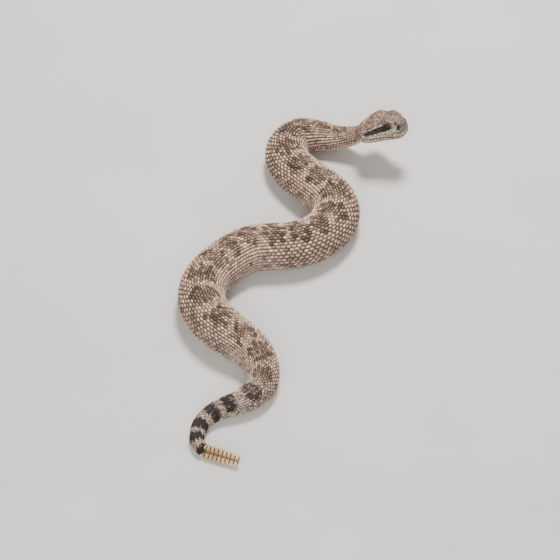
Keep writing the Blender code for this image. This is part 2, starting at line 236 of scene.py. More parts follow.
# Over the snout's top: distance ahead, share round from the middle, size, upward lean
SNOUT_PLATES = (
    (0.0466, 0.166, (0.0040, 0.0036), 0.0), (0.0488, 0.034, (0.0032, 0.0032), 0.0),
    (0.0488, 0.104, (0.0032, 0.0034), 0.0), (0.0499, 0.170, (0.0036, 0.0032), 0.0),
    (0.0513, 0.036, (0.0032, 0.0034), 0.4), (0.0514, 0.108, (0.0032, 0.0034), 0.4),
    (0.0522, 0.176, (0.0028, 0.0028), 0.5), (0.0529, 0.040, (0.0027, 0.0030), 1.5),
    (0.0530, 0.120, (0.0027, 0.0030), 1.5), (0.0531, 0.190, (0.0022, 0.0024), 1.5),
)
PLATE_MARGIN = 0.0006  # that the small scales keep from the plates
# Small scales: pitches at distances ahead of the nape, gap between rows in pitches, and clearings
HEAD_PITCHES = ((0.010, 0.00250), (0.026, 0.00205), (0.050, 0.00165))
HEAD_ROW_GAP = 0.82
HEAD_JITTER = 0.10
HEAD_STARTS = (0.0008, 0.0015)  # from the snout's tip to the first row, and from the nape to the last
CLEARINGS = ((EYE_PLACE, 0.0044), (PIT_PLACE, 0.0030), (NOSTRIL_PLACE, 0.0016))
BROW_SIZE = (0.0132, 0.0058)  # length and width of the plate over the eye, broader than the solid's
BROW_RISE = 0.0053  # from the eye's middle up to its outer edge
BROW_AHEAD = 0.0026  # from the eye's middle to the plate's
BROW_JOIN = 0.0004  # rounding where it rises from the crown
BROW_DOME = 0.0006
BROW_GROWTH = 0.00013  # height of its growth lines
BROW_ROLL = 0.0007  # how far its edges roll down
BROW_THICK = 0.0010  # at its outer edge
BROW_THICKER = 0.0012  # how much more at its inner one
BROW_GRID = (41, 21)  # points along and across
EYE_PROUD = 0.0005  # how much further out the eye stands than the solid's
EYE_LARGER = 1.04
EYE_MESH = (48, 32)  # segments round, and rings

# The rattle's rings: places along one and sizes there; then how much broader and larger than the solid's
SEGMENT_PROFILE = ((-0.14, 0.46), (-0.08, 0.55), (0.0, 0.66), (0.08, 0.77), (0.18, 0.885), (0.30, 0.965),
                   (0.44, 1.0), (0.58, 0.98), (0.72, 0.905), (0.83, 0.80), (0.91, 0.68), (0.96, 0.57),
                   (0.98, 0.46))
RATTLE_AROUND = 72
RATTLE_BROADER = 1.11
RATTLE_LARGER = 1.045
RATTLE_LIFT = 0.0004  # of the broader rings, so that they lie on the floor
GROOVE_DEPTH = 0.60
TONE_SPREAD = 0.06  # how much the rings differ in tone
TONE_FIRST = 0.86  # at the body, and how much lighter each next one is
TONE_STEP = 0.04

# Camera, floor and light
CAMERA_TARGET = (-0.0162, 0.0127, 0.0)
CAMERA_PITCH = math.radians(47)
CAMERA_DISTANCE = 2.4
METRES_PER_PIXEL = 0.001
IMAGE_WIDTH = 560
SENSOR_WIDTH = 36.0
FLOOR_HALF = 3.0
FLOOR_HEIGHT = -0.0001
SKY = (0.97, 0.98, 1.0, 1)
SKY_STRENGTH = 0.42
# Name, place, size, power and colour of each lamp
LAMPS = (("key", (0.15, 0.75, 1.5), 0.45, 40, (1.0, 0.96, 0.91)),
         ("fill", (-0.3, -1.3, 0.9), 1.0, 16, (1.0, 0.98, 0.95)))


# Small tools

def smooth(t):
    """0 to 1 without corners, for t from 0 to 1."""
    t = np.clip(t, 0, 1)
    return t * t * (3 - 2 * t)


def between(low, high, t):
    """How far t is from low to high, smoothly."""
    return smooth((np.asarray(t, float) - low) / (high - low))


def bump(x, centre, wide):
    """1 at the centre, falling away smoothly to both sides."""
    return np.exp(-(((x - centre) / wide) ** 2))


def waves(x, seed):
    """Smooth seeded wandering between about -1 and 1 along a number."""
    rng = np.random.default_rng(seed)
    return sum(np.sin(x * (1.0 + 1.3 * k) + rng.uniform(0, 2 * math.pi)) / (k + 1) for k in range(3)) / 1.6


def unit(v):
    return v / np.maximum(np.linalg.norm(v, axis=-1, keepdims=True), 1e-12)


def stacked(*parts):
    """Arrays and numbers side by side, as the last axis of one array."""
    return np.stack(np.broadcast_arrays(*parts), axis=-1)


def travelled(line):
    """The distance along a line of points to each of them."""
    return np.concatenate([[0], np.cumsum(np.linalg.norm(np.diff(line, axis=0), axis=1))])


def on_line(stops, arcs, line):
    """Places on a line of points, at distances along it."""
    return stacked(*(np.interp(stops, arcs, column) for column in line.T))


def at_knots(x, pairs):
    """The value at x of straight lines through (place, value) pairs."""
    return np.interp(x, *zip(*pairs))


def from_back(t):
    """Share of the way round from the middle of the back, down either side."""
    return np.minimum(t % 1, 1 - t % 1)


def grid(along, across):
    """Two flat arrays with all pairs of the values."""
    return (g.ravel() for g in np.meshgrid(along, across, indexing="ij"))


def sheet(n, m):
    """For n by m points: the first corner of each cell, and the pairs of neighbours round the rim."""
    cells = [i * m + j for i in range(n - 1) for j in range(m - 1)]
    rim = [*range(m), *range(2 * m - 1, n * m, m)]
    rim += [*range(n * m - 2, (n - 1) * m - 1, -1), *range((n - 2) * m, 0, -m)]
    return cells, list(zip(rim, rim[1:] + rim[:1]))


# Curves and the spine

def spline(knots, values):
    """A natural cubic curve through the values at the knots, as a function of numbers or arrays."""
    knots = np.array(knots, float)
    values = np.array(values, float)
    gaps = np.diff(knots)
    slopes = (np.diff(values, axis=0).T / gaps).T
    system = np.eye(len(knots))
    wanted = np.zeros_like(values)
    for i in range(1, len(knots) - 1):
        system[i, i - 1:i + 2] = gaps[i - 1], 2 * (gaps[i - 1] + gaps[i]), gaps[i]
        wanted[i] = 6 * (slopes[i] - slopes[i - 1])
    bends = np.linalg.solve(system, wanted)

    def at(x):
        x = np.asarray(x, float)
        i = np.clip(np.searchsorted(knots, x) - 1, 0, len(gaps) - 1)
        gap = gaps[i]
        a, b = (knots[i + 1] - x) / gap, (x - knots[i]) / gap
        if values.ndim == 2:
            a, b, gap = a[..., None], b[..., None], gap[..., None]
        curve = ((a**3 - a) * bends[i] + (b**3 - b) * bends[i + 1]) * gap**2 / 6
        return a * values[i] + b * values[i + 1] + curve

    return at


def measured_route():
    """Distances along the body's middle line, and its points, finely sampled along a smooth curve."""
    points = np.array(ROUTE) - PLAN_CENTRE
    chords = travelled(points)
    line = spline(chords, points)(np.linspace(0, chords[-1], ROUTE_SAMPLES))
    return travelled(line), line


DISTANCES, LINE = measured_route()
BODY_LENGTH = DISTANCES[-1]
BODY_END = BODY_LENGTH - NODE_GAP / 2
width_share, neck_lift, half_width_at, top_at, mouth_at, chin_at = (
    spline(*zip(*pairs)) for pairs in (WIDTH_SHARES, NECK_LIFTS, HALF_WIDTHS, TOPS, MOUTHS, CHINS))


def width(s):
    return BODY_WIDTH * width_share(np.clip(s, 0, BODY_LENGTH) / BODY_LENGTH)


def lift(s):
    return np.where(s < NECK_LIFTS[-2][0], np.maximum(0, neck_lift(s)), 0)


def oval_height(s):
    return HEIGHT_SHARE * width(s) / (1 - BELLY_CUT)


def spine(s):
    """Middles of the sections at s, with their forward, left and up directions, as arrays."""
    s = np.atleast_1d(np.asarray(s, float))

    def raised(d, height):
        return np.column_stack([on_line(d, DISTANCES, LINE), height])

    before, after = np.maximum(s - SPINE_STEP, 0), np.minimum(s + SPINE_STEP, BODY_LENGTH)
    ahead = unit(raised(before, lift(before)) - raised(after, lift(after)))
    left = unit(np.cross((0, 0, 1), ahead))
    turn = -HEAD_ROLL * smooth(1 - s / ROLL_LENGTH)
    left = left * np.cos(turn)[:, None] + np.cross(ahead, left) * np.sin(turn)[:, None]
    middle = raised(s, oval_height(s) * (0.5 - BELLY_CUT) + lift(s))
    return middle, ahead, left, np.cross(ahead, left)


def head_frame():
    """From the head's own axes, X towards the snout and Z up, to the part's."""
    place, ahead, left, up = (Vector(v[0]) for v in spine(0))
    bend = Quaternion(left, NAPE_BEND)
    ahead.rotate(bend)
    up.rotate(bend)
    return Matrix.Translation(place) @ Matrix((ahead, left, up)).transposed().to_4x4()


HEAD = head_frame()
HEAD_ARRAY = np.array(HEAD)


def from_head(points):
    """Points in the head's own axes, in the part's."""
    return points @ HEAD_ARRAY[:3, :3].T + HEAD_ARRAY[:3, 3]


def to_head(points):
    return (points - HEAD_ARRAY[:3, 3]) @ HEAD_ARRAY[:3, :3]


def snout_close(share):
    """How far the section has closed in at the snout, 1 for not at all."""
    t = np.clip((share - SNOUT_START) / (1 - SNOUT_START), 0, 1)
    return (1 - t**SNOUT_POWER) ** (1 / SNOUT_POWER)


def boxiness(share):
    """The power that rounds the head's section, larger for a boxier one."""
    return 2.1 + 1.3 * np.sin(math.pi * share)


def on_cheek(ahead, height, side, deeper=0.0):
    """A place on the cheek of the side given, 1 left or -1 right, in the head's axes."""
    share = ahead / HEAD_LENGTH
    up = np.clip((height - mouth_at(share)) / (top_at(share) - mouth_at(share)), 0, 1)
    power = boxiness(share)
    half = float(half_width_at(share) * snout_close(share) * (1 - up**power) ** (1 / power))
    return np.array([ahead, side * (half - deeper), height])


# The skin's surface as a grid of points

def whole(side, tall, edge):
    """A ring from half a section, right side first, with its points spaced evenly from the middle of the
    back down to the angle edge, and evenly again below it."""
    shares = np.arange(AROUND // 2 + 1) / AROUND
    arcs = travelled(stacked(side, tall))
    at_edge = np.interp(edge, np.linspace(0, math.pi, FINE), arcs)
    wanted = np.interp(shares, (0, SIDE_EDGE, 0.5), (0, at_edge, arcs[-1]))
    side, tall = np.interp(wanted, arcs, side), np.interp(wanted, arcs, tall)
    return np.concatenate([side, -side[-2:0:-1]]), np.concatenate([tall, tall[-2:0:-1]])


def body_ring(s):
    """The section at s, or ahead of the nape for s below 0."""
    angles = np.linspace(0, math.pi, FINE)
    oval = float(oval_height(s))
    side = float(width(s)) / 2 * np.sin(angles) * (1 - LOW_BULGE * np.cos(angles))
    tall = np.maximum(oval / 2 * np.cos(angles), -oval * (0.5 - BELLY_CUT))
    side, tall = whole(side, tall, SCUTE_EDGE_ANGLE)
    place, ahead, left, up = (v[0] for v in spine(max(0, s)))
    return place - ahead * min(0, s) - left * side[:, None] + up * tall[:, None]


def head_ring(share, close=None):
    """The head's section at a share of its length, or behind the nape for a share below 0."""
    angles = np.linspace(0, math.pi, FINE)
    inside = max(0.0, share)
    close = float(snout_close(inside)) if close is None else close
    half, top, middle, chin = (float(f(inside)) for f in (half_width_at, top_at, mouth_at, chin_at))
    power = 2 / float(boxiness(inside))
    centre = (top + chin) / 2
    lean = NAPE_BEND * float(smooth(1 - inside / NAPE_SHARE))
    across = np.abs(np.sin(angles)) ** power
    along = np.sign(np.cos(angles)) * np.abs(np.cos(angles)) ** power
    height = middle + along * np.where(along >= 0, top - middle, middle - chin) * close - centre
    edge = SCUTE_EDGE_ANGLE + (math.pi / 2 - SCUTE_EDGE_ANGLE) * float(smooth(inside / JAW_START))
    side, height = whole(across * half * close, height, edge)
    return from_head(stacked(share * HEAD_LENGTH - height * math.sin(lean), -side,
                             centre + height * math.cos(lean)))


def snout_shares(turns):
    """Shares of the head's length round the snout's tip, for angles from 0 to a right angle."""
    return SNOUT_START + (1 - SNOUT_START) * np.sin(turns) ** (2 / SNOUT_POWER)


def build_grid():
    """Stations along the snake, negative on the head, and the ring of points at each."""
    turns = np.linspace(SNOUT_TIP_ANGLE, 0, SNOUT_RINGS)
    head = list(zip(snout_shares(turns), np.cos(turns) ** (2 / SNOUT_POWER)))
    count = round(SNOUT_START * HEAD_LENGTH / RING_GAP_HEAD)
    head += [(share, None) for share in np.linspace(SNOUT_START, 0, count, endpoint=False)[1:]]
    body = np.linspace(0, BODY_END, round(BODY_LENGTH / RING_GAP_BODY))
    stations = np.array([-share * HEAD_LENGTH for share, _ in head] + list(body))
    rings = [head_ring(share, close) for share, close in head] + [body_ring(s) for s in body]
    for i in np.flatnonzero(np.abs(stations) < NAPE_BLEND):
        blend = float(between(-NAPE_BLEND, NAPE_BLEND, stations[i]))
        rings[i] = head_ring(-stations[i] / HEAD_LENGTH) * (1 - blend) + body_ring(stations[i]) * blend
    return stations, np.array(rings)


def slopes(points):
    """Steps of the grid along and round, and its outward normals."""
    along = np.gradient(points, STATIONS, axis=0)
    wrapped = np.concatenate([points[:, -1:], points, points[:, :1]], axis=1)
    around = (wrapped[:, 2:] - wrapped[:, :-2]) * AROUND / 2
    return np.linalg.norm(along, axis=2), np.linalg.norm(around, axis=2), unit(np.cross(along, around))


STATIONS, POINTS = build_grid()
ALONG, ROUND, NORMALS = slopes(POINTS)
TURN_SHARE = np.arange(AROUND) / AROUND


def shaped(points):
    """The grid with the head's forms and the folds pressed into it, drawn in by the coat's depth."""
    local = to_head(points)
    x, y, z = local[..., 0], np.abs(local[..., 1]), local[..., 2]
    share = np.clip(x / HEAD_LENGTH, 0, 1)
    forms = (
        # the edge between the crown and the snout's side
        (0.0006, bump(z - top_at(share), -0.0020, 0.0016), between(0.0080, 0.0115, y),
         between(0.030, 0.038, x)),
        # the snout's upper corner and the crown, fuller, and the chin, drawn back
        (0.0023, bump(x, 0.0520, 0.0042), between(0.0120, 0.0165, z)),
        (0.0016, between(0.012, 0.018, z), between(0.010, 0.022, x), between(0.052, 0.042, x)),
        (-0.0013, bump(x, 0.0550, 0.0045), between(0.0050, 0.0010, z)),
        # the brow ridge, the hollow below its front, and a shallow dip along the crown
        (0.0034, bump(y, 0.0100, 0.0042), between(0.028, 0.037, x), between(0.0515, 0.0445, x),
         between(0.0150, 0.0190, z)),
        (-0.0008, bump(x, 0.0455, 0.0042), bump(z, 0.0135, 0.0030)),
        (-0.0005, bump(y, 0, 0.0040), between(0.022, 0.034, x), between(0.010, 0.015, z)),
        # the jaw's muscles behind the eye, and the temple between them and the crown
        (0.0007, bump(x, 0.0150, 0.0080), bump(z, 0.0075, 0.0045), between(0, 0.008, x)),
        (-0.0005, bump(x, 0.0270, 0.0050), bump(z, 0.0135, 0.0028), between(0.006, 0.010, y)),
        # the groove of the mouth
        (-0.0007, bump(z, mouth_at(share), 0.00036), between(JAW_START - 0.01, JAW_START + 0.06, share)),
    )
    push = sum(math.prod(form) for form in forms)
    for side in SIDES:
        for place, radius, depth in OPENINGS:
            away = np.linalg.norm(local - on_cheek(*place, side), axis=2)
            push -= depth * (1 - between(radius * 0.72, radius * 1.12, away))
    # folds where the body's inner side is pressed together
    s, side = STATIONS[:, None], from_back(TURN_SHARE)[None, :]
    pressed = between(0.82, 0.50, ALONG) * between(0.01, 0.03, s) * between(0.56, 0.50, s)
    phase = s / FOLD_PITCH * 2 * math.pi + 1.4 * waves(s * 90, 3) + 0.9 * waves(TURN_SHARE * 40, 4)
    push -= FOLD_DEPTH * pressed * between(0.10, 0.20, side) * (0.5 + 0.5 * np.cos(phase))
    # the coat's depth, less on the head and the belly
    depth = COAT_DEPTH * (0.30 + 0.70 * width(np.maximum(s, 0)) / BODY_WIDTH)
    depth = np.where(s < 0, np.maximum(THINNEST_COAT, depth * (1 - 0.2 * between(0, 0.02, -s))), depth)
    depth = depth * (1 - 0.45 * between(SIDE_EDGE + 0.02, SIDE_EDGE + 0.05, side) * (s > 0))
    return points + NORMALS * (push - depth)[..., None]


def quads():
    """The grid's faces, turned outwards."""
    row, column = grid(np.arange(len(STATIONS) - 1), np.arange(AROUND))
    here, beside = row * AROUND + column, row * AROUND + (column + 1) % AROUND
    return stacked(here, here + AROUND, beside + AROUND, beside)


POINTS = shaped(POINTS)
ALONG, ROUND, NORMALS = slopes(POINTS)
FACES = quads()
TREE = BVHTree.FromPolygons(POINTS.reshape(-1, 3).tolist(), FACES[:HEAD_RINGS * AROUND].tolist())


def sample(field, along, around):
    """A field of the grid at any places along the snake and round it."""
    i = np.interp(along, STATIONS, np.arange(len(STATIONS)))
    i0 = np.minimum(i.astype(int), len(STATIONS) - 2)
    j = (around % 1) * AROUND
    j0 = j.astype(int) % AROUND
    j1 = (j0 + 1) % AROUND
    a, b = i - i0, j - np.floor(j)
    if field.ndim == 3:
        a, b = a[..., None], b[..., None]
    low = field[i0, j0] * (1 - b) + field[i0, j1] * b
    high = field[i0 + 1, j0] * (1 - b) + field[i0 + 1, j1] * b
    return low * (1 - a) + high * a


# Markings

def mixed(one, two, share):
    """Colours one and two mixed; share is 0 for all of one."""
    share = np.asarray(share, float)[..., None]
    return np.asarray(one) * (1 - share) + np.asarray(two) * share


def layered(colour, *layers):
    """A colour with (colour, share) layers mixed into it in turn."""
    for over, share in layers:
        colour = mixed(colour, over, share)
    return colour


def positive(x, most=1.0):
    """Numbers held between 0 and the most given."""
    return np.clip(x, 0, most)


def held_in(colours):
    """Colours with the brightest ones dimmed, hue kept."""
    return colours * np.minimum(1, BRIGHTEST / colours.max(axis=-1, keepdims=True))


def body_colour(s, t):
    """Colour of the coat at distance s from the head and share t round from the middle of the back."""
    side = from_back(t)
    wander = 0.0022 * waves(t * 55 + s * 60, 21)
    centres = np.array(BLOTCHES)
    near = np.argmin(np.abs(s[..., None] - centres), axis=-1)
    place = (s + wander - centres[near]) / np.gradient(centres)[near]
    reach = 0.118 + 0.014 * waves(near * 2.1, 5)
    ragged = waves(s * 420 + side * 190, 6) * waves(side * 260 - s * 300, 7)
    inside = (np.abs(place / 0.36) ** 2 + (side / reach) ** 2.2) * (1 + 0.48 * ragged)
    colour = layered(
        mixed(GROUND, FLANK, between(0.14, 0.26, side)),
        # the lowest rows of the flank darkened as painted shade
        (BROWN, 0.20 * between(0.24, 0.33, side)),
        # the blotch: its pale border, its middle and its dark rim
        (PALE, 0.24 * between(2.10, 1.45, inside) * between(0.95, 1.30, inside)),
        (BROWN, 0.84 * between(1.22, 0.76, inside)),
        (DARK, 0.88 * bump(inside, 0.80, 0.26)),
    )
    # smaller spots on the flanks, below the blotches and between them
    for shift, height, strength in FLANK_SPOTS:
        off = (place - shift * np.sign(place)) / 0.26
        spot = np.exp(-1.5 * off**2) * bump(side, height, 0.028)
        colour = mixed(colour, BROWN, strength * spot * (1 + 0.4 * ragged))
    # rings on the tail, browner towards the body
    tail = between(0.520, 0.548, s)
    colour = mixed(colour, TAIL_PALE, tail)
    for middle, half in RINGS:
        low_end = at_knots(middle, ((0.545, 0.190), (0.570, 0.215), (0.590, 0.42)))
        taper = 1 - 0.35 * between(0.10, low_end, side)
        off = np.abs(s + wander * 0.6 - middle) / (half * taper) * (1 + 0.12 * ragged)
        band = between(1.25, 0.84, off) * between(low_end + 0.03, low_end - 0.03, side)
        core = between(0.80, 0.30, np.hypot(off, side / low_end)) * between(0.572, 0.545, middle)
        dark = mixed(BROWN, TAIL_DARK, between(0.500, 0.562, middle))
        colour = layered(colour, (dark, 0.97 * band), (GROUND, 0.20 * core))
    belly = mixed(BELLY, colour, 0.25 + 0.5 * tail)
    return mixed(colour, belly, between(SIDE_EDGE - 0.01, SIDE_EDGE + 0.02, side))


def head_colour(points):
    """Colour of the head at points in its own axes."""
    x, y, z = points[..., 0], np.abs(points[..., 1]), points[..., 2]
    share = np.clip(x / HEAD_LENGTH, 0, 1)
    above = z - mouth_at(share)
    on_side = between(0.0070, 0.0100, y)
    half = at_knots(x, STRIPE_HALF)
    off = z - at_knots(x, STRIPE_MIDDLE)
    mottle = waves(x * 900 + y * 700, 31) * waves(y * 800 - x * 300 + z * 500, 32)
    cloud = waves(x * 260 + y * 200, 33) * waves(y * 240 - x * 120, 34)
    spots = waves(x * 1400 + z * 600, 35) * waves(y * 1500 - x * 500, 36)
    lip = between(JAW_START - 0.03, JAW_START + 0.05, share) * between(-0.0006, 0.0004, above)
    under_stripe = between(0.0002, -0.0004, off + half) * on_side * between(0.052, 0.044, x)
    white = between(-0.0036, -0.0020, off + half) * between(0.050, 0.043, x)
    line = between(0.0011, 0.0004, np.abs(off - half - 0.0008)) * between(0.004, 0.007, y)
    line = line * between(0.0355, 0.0340, x) * between(0.014, 0.020, x)
    line = line * (0.5 + 0.5 * between(0.024, 0.031, x))
    openings = bump(x, PIT_PLACE[0] + 0.0004, 0.0013) * bump(z, PIT_PLACE[1], 0.0021)
    openings += bump(x, NOSTRIL_PLACE[0], 0.0005) * bump(z, NOSTRIL_PLACE[1], 0.0005)
    stripe = between(half + 0.0002, half - 0.0003, np.abs(off))
    stripe = stripe * between(0.0428, 0.0418, x) * between(0.0142, 0.0156, x) * on_side
    return layered(
        # the crown, mottled
        CROWN,
        (GROUND, between(0.018, 0.002, x)),
        (PALE, 0.42 * positive(cloud) + 0.85 * positive(spots - 0.04, 0.5)),
        (DARK, 0.85 * positive(-spots - 0.06, 0.6)),
        (DARK, 0.58 * positive(mottle - 0.1) + 0.34 * positive(-cloud)),
        # the head's sides, the snout, and pale patches in front of the eye and on the lips
        (FLANK, 0.8 * on_side * between(0.0170, 0.0135, z) * between(0.040, 0.030, x)),
        (SNOUT, 0.85 * between(0.040, 0.047, x) * between(0.0200, 0.0172, z)),
        (LIP_LOW, 0.8 * bump(x, 0.0452, 0.0022) * bump(z, 0.0152, 0.0030) * on_side),
        (mixed(LIP_LOW, LIP, white), lip * under_stripe),
        (mixed(LIP_LOW, SNOUT, 0.5), lip * between(0.0040, 0.0030, above) * between(0.044, 0.052, x)),
        (DARK, 0.75 * bump(x, 0.0432, 0.0011) * bump(above, 0.0036, 0.0010) * on_side),
        # the pale line over the stripe, painted shade in the openings, the stripe and the throat
        (LIP, 0.95 * line),
        (OPENING, 0.97 * between(0.25, 0.60, openings) * between(0.004, 0.006, y)),
        (STRIPE, 0.96 * stripe),
        (mixed(BELLY, LIP_LOW, 0.4), 0.9 * between(-0.0002, -0.0012, above)),
    )


def coat_colour(s, t, points):
    """The same markings for skin and scales."""
    body = body_colour(np.maximum(s, 0), t)
    head = head_colour(to_head(points))
    return mixed(head, body, between(-0.010, 0.006, s))


# Meshes and their attributes

def inset(share):
    """A share kept off the edges of the bake map."""
    return share * 0.98 + 0.01


def mesh_object(name, points, faces, look, colours, lie, uv):
    """A piece from arrays, with its colours, its places within each scale, and its bake map."""
    data = bpy.data.meshes.new(name)
    data.from_pydata(points.reshape(-1, 3).tolist(), [], faces)
    data.polygons.foreach_set("use_smooth", np.ones(len(data.polygons), bool))
    tint = data.color_attributes.new("coat_colour", "FLOAT_COLOR", "POINT")
    tint.data.foreach_set("color", stacked(*colours.reshape(-1, 3).T, 1.0).ravel())
    place = data.attributes.new("lie", "FLOAT_VECTOR", "POINT")
    place.data.foreach_set("vector", lie.ravel())
    corners = np.empty(len(data.loops), int)
    data.loops.foreach_get("vertex_index", corners)
    layer = data.uv_layers.new(name="OFBake")
    layer.data.foreach_set("uv", uv.reshape(-1, 2)[corners].ravel())
    data.materials.append(look)
    data.update()
    piece = bpy.data.objects.new(name, data)
    bpy.context.scene.collection.objects.link(piece)
    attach(piece, "root")
    return piece


# One scale: places along 0 to 1 with its widths there, places across -1 to 1, and its faces

SCALE_ALONG = (0.0, 0.14, 0.32, 0.52, 0.72, 0.88, 1.0)
SCALE_WIDTHS = (0.55, 0.86, 1.0, 0.98, 0.80, 0.50, 0.14)
SCALE_ACROSS = (-1.0, -0.66, -0.19, 0.0, 0.19, 0.66, 1.0)
SCALE_MIDDLE = 0.45


def scale_template():
    """(along, across, on top) of the points of one closed scale, and its faces."""
    n, m = len(SCALE_ALONG), len(SCALE_ACROSS)
    x, y = grid(SCALE_ALONG, SCALE_ACROSS)
    cells, rim = sheet(n, m)
    start, count = n * m, len(rim)
    faces = [(a, a + m, a + m + 1, a + 1) for a in cells]
    faces += [(a, b, start + (k + 1) % count, start + k) for k, (a, b) in enumerate(rim)]
    faces.append(tuple(range(start + count - 1, start - 1, -1)))
    edge = [a for a, _ in rim]
    on_top = np.arange(start + count) < start
    return np.concatenate([x, x[edge]]), np.concatenate([y, y[edge] * 0.94]), on_top, faces


SCALE_X, SCALE_Y, SCALE_TOP, SCALE_FACES = scale_template()
POINTED = (SCALE_X - SCALE_MIDDLE, SCALE_Y * np.interp(SCALE_X, SCALE_ALONG, SCALE_WIDTHS))


def scale_heights(scales):
    """Heights of the template's points over the skin, in shares of the rise, for one or many scales."""
    keel, dome, sink, tip, thick = (
        np.atleast_1d(scales[part])[:, None] for part in ("keel", "dome", "sink", "tip", "thick"))
    base = -sink + (sink + tip) * SCALE_X**0.8
    ridge = keel * bump(SCALE_Y, 0, 0.16) * np.sin(math.pi * positive((SCALE_X + 0.02) / 1.08)) ** 0.5
    crown = dome * (1 - np.abs(SCALE_Y) ** 2.2) * np.sin(math.pi * positive(SCALE_X * 0.86 + 0.10))
    return np.where(SCALE_TOP, base + ridge + crown, base - thick)


def laid_scales(scales):
    """Points of many scales laid on the skin by their places along it and round it."""
    s, t, length, half, rise, skew = (
        scales[part][:, None] for part in ("s", "t", "length", "half", "rise", "skew"))
    stretch = np.clip(sample(ALONG, s, t), *STRETCH_LIMITS)
    along = s + POINTED[0] * length * np.where(stretch < 1, stretch**-PRESSED_POWER, 1 / stretch)
    around = t + (POINTED[1] + skew * SCALE_X) * half / sample(ROUND, s, t)
    heights = (scale_heights(scales) * rise)[..., None]
    points = sample(POINTS, along, around) + sample(NORMALS, along, around) * heights
    # past the body's end they run on and draw in round the rattle's base
    end, ahead, _, _ = (v[0] for v in spine(BODY_LENGTH))
    over = np.maximum(0, along - BODY_END)[..., None]
    drawn_in = COLLAR_CLOSE * positive(over / COLLAR_REACH) ** 1.4
    return points - ahead * over + (end - points) * drawn_in


def scale_pitch(s):
    """The distance along the body from one row of scales to the next."""
    share = width(np.maximum(0, s)) / BODY_WIDTH
    return SCALE_PITCH * share**PITCH_POWER * np.where(np.asarray(s) >= 0, 1, PITCH_ON_HEAD)


def row_stations(first, last):
    """Places a scale's pitch apart along the body, until one is past the last place given."""
    stations = [first]
    while stations[-1] < last:
        stations.append(stations[-1] + float(scale_pitch(stations[-1])))
    return np.array(stations)


def row_place(row, s):
    """Where a row lies round the body, its width there as a share of the turn, and where it is kept."""
    weights = np.tile(1 + FLANK_WIDER * (np.arange(ROWS + 1) / ROWS) ** 2, (len(s), 1))
    for share, first, way in ROW_PAIRS:
        middle, reach = share * BODY_LENGTH, ROW_CHANGE * way
        weights[:, first:first + 2] *= between(middle - reach, middle + reach, s)[:, None]
    k = abs(row)
    wide = weights[:, k]
    before = weights[:, 0] / 2 + weights[:, 1:k].sum(axis=1) + wide / 2 if k else 0 * wide
    per_weight = SIDE_EDGE / (weights[:, 0] / 2 + weights[:, 1:].sum(axis=1))
    return math.copysign(1, row) * before * per_weight, wide * per_weight, wide > NARROWEST_ROW


def scale_lattice():
    """Place along, place round, width and row of each of the body's scales, from the head to the rattle."""
    stations = row_stations(FIRST_ROW, BODY_LENGTH + COLLAR)
    number = np.arange(len(stations))
    rows = []
    for row in range(-ROWS, ROWS + 1):
        s = np.interp(number[:-1] + 0.5 * (row % 2), number, stations)
        t, wide, kept = row_place(row, s)
        rows.append(stacked(s, t, wide, abs(row))[kept])
    table = np.concatenate(rows)
    return table[np.argsort(table[:, 0], kind="stable")].T


def scale_tints(s, t, rng):
    """Each scale's own colour, from the markings near its middle, a little lighter or darker."""
    count = len(s)
    on_tail = between(0.530, 0.545, s)
    loose = between(0.535, 0.500, s) * 0.75 + 0.25
    near_s = s + rng.normal(0, MARK_JITTER[0], count) * loose
    near_t = t + rng.normal(0, MARK_JITTER[1], count) * loose
    beads = between(0.15, 0.05, s) * between(-0.010, 0.010, s) * between(0.06, 0.13, from_back(t))
    colour = mixed(coat_colour(near_s, near_t, sample(POINTS, s, t)), PALE, 0.45 * beads)
    shade = np.clip(np.exp(rng.normal(0, SHADE_SPREAD, count) * (1 + on_tail)), *SHADE_LIMITS)
    odd = rng.uniform(0, 1, count)
    light = np.where(odd > LIGHT_ABOVE, LIGHT_SHADE, 1.0)
    shade = shade * np.where(odd < DARK_BELOW + 0.12 * on_tail, DARK_SHADE, light)
    fleck = np.where(rng.uniform(0, 1, count) < FLECKED, FLECK, 0.0)
    fleck = fleck * between(0, 0.03, s) * between(0.612, 0.545, s)
    return held_in(mixed(colour * shade[:, None], PALE, fleck))


def dress(name, points, tints, s, t, look, begin, end):
    """One coat piece from scales with the template's shape, with a tint for each scale or each point."""
    count, size = points.shape[:2]
    seeds = np.random.default_rng(count).uniform(0, 1, count)
    # lower on the body's flanks, so that the scales' painted keel highlights and painted edge shade are
    # weaker there
    seeds = seeds * (1 - 0.6 * between(0.14, 0.30, from_back(t)) * (s > 0.12))
    upper, under = np.array(SCALE_FACES[:-1]), np.array(SCALE_FACES[-1])
    faces = []
    for first in range(0, count * size, size):
        faces += (upper + first).tolist()
        faces.append((under + first).tolist())
    u, v = inset((s - begin) / (end - begin))[:, None], inset(t % 1)[:, None]
    uv = stacked(u + (SCALE_X - 0.5) * BAKE_SIZE[0], v + SCALE_Y * BAKE_SIZE[1])
    colours = np.broadcast_to(tints if tints.ndim == 3 else tints[:, None], points.shape)
    mesh_object(name, points, faces, look, colours, stacked(SCALE_X, SCALE_Y, seeds[:, None]), uv)


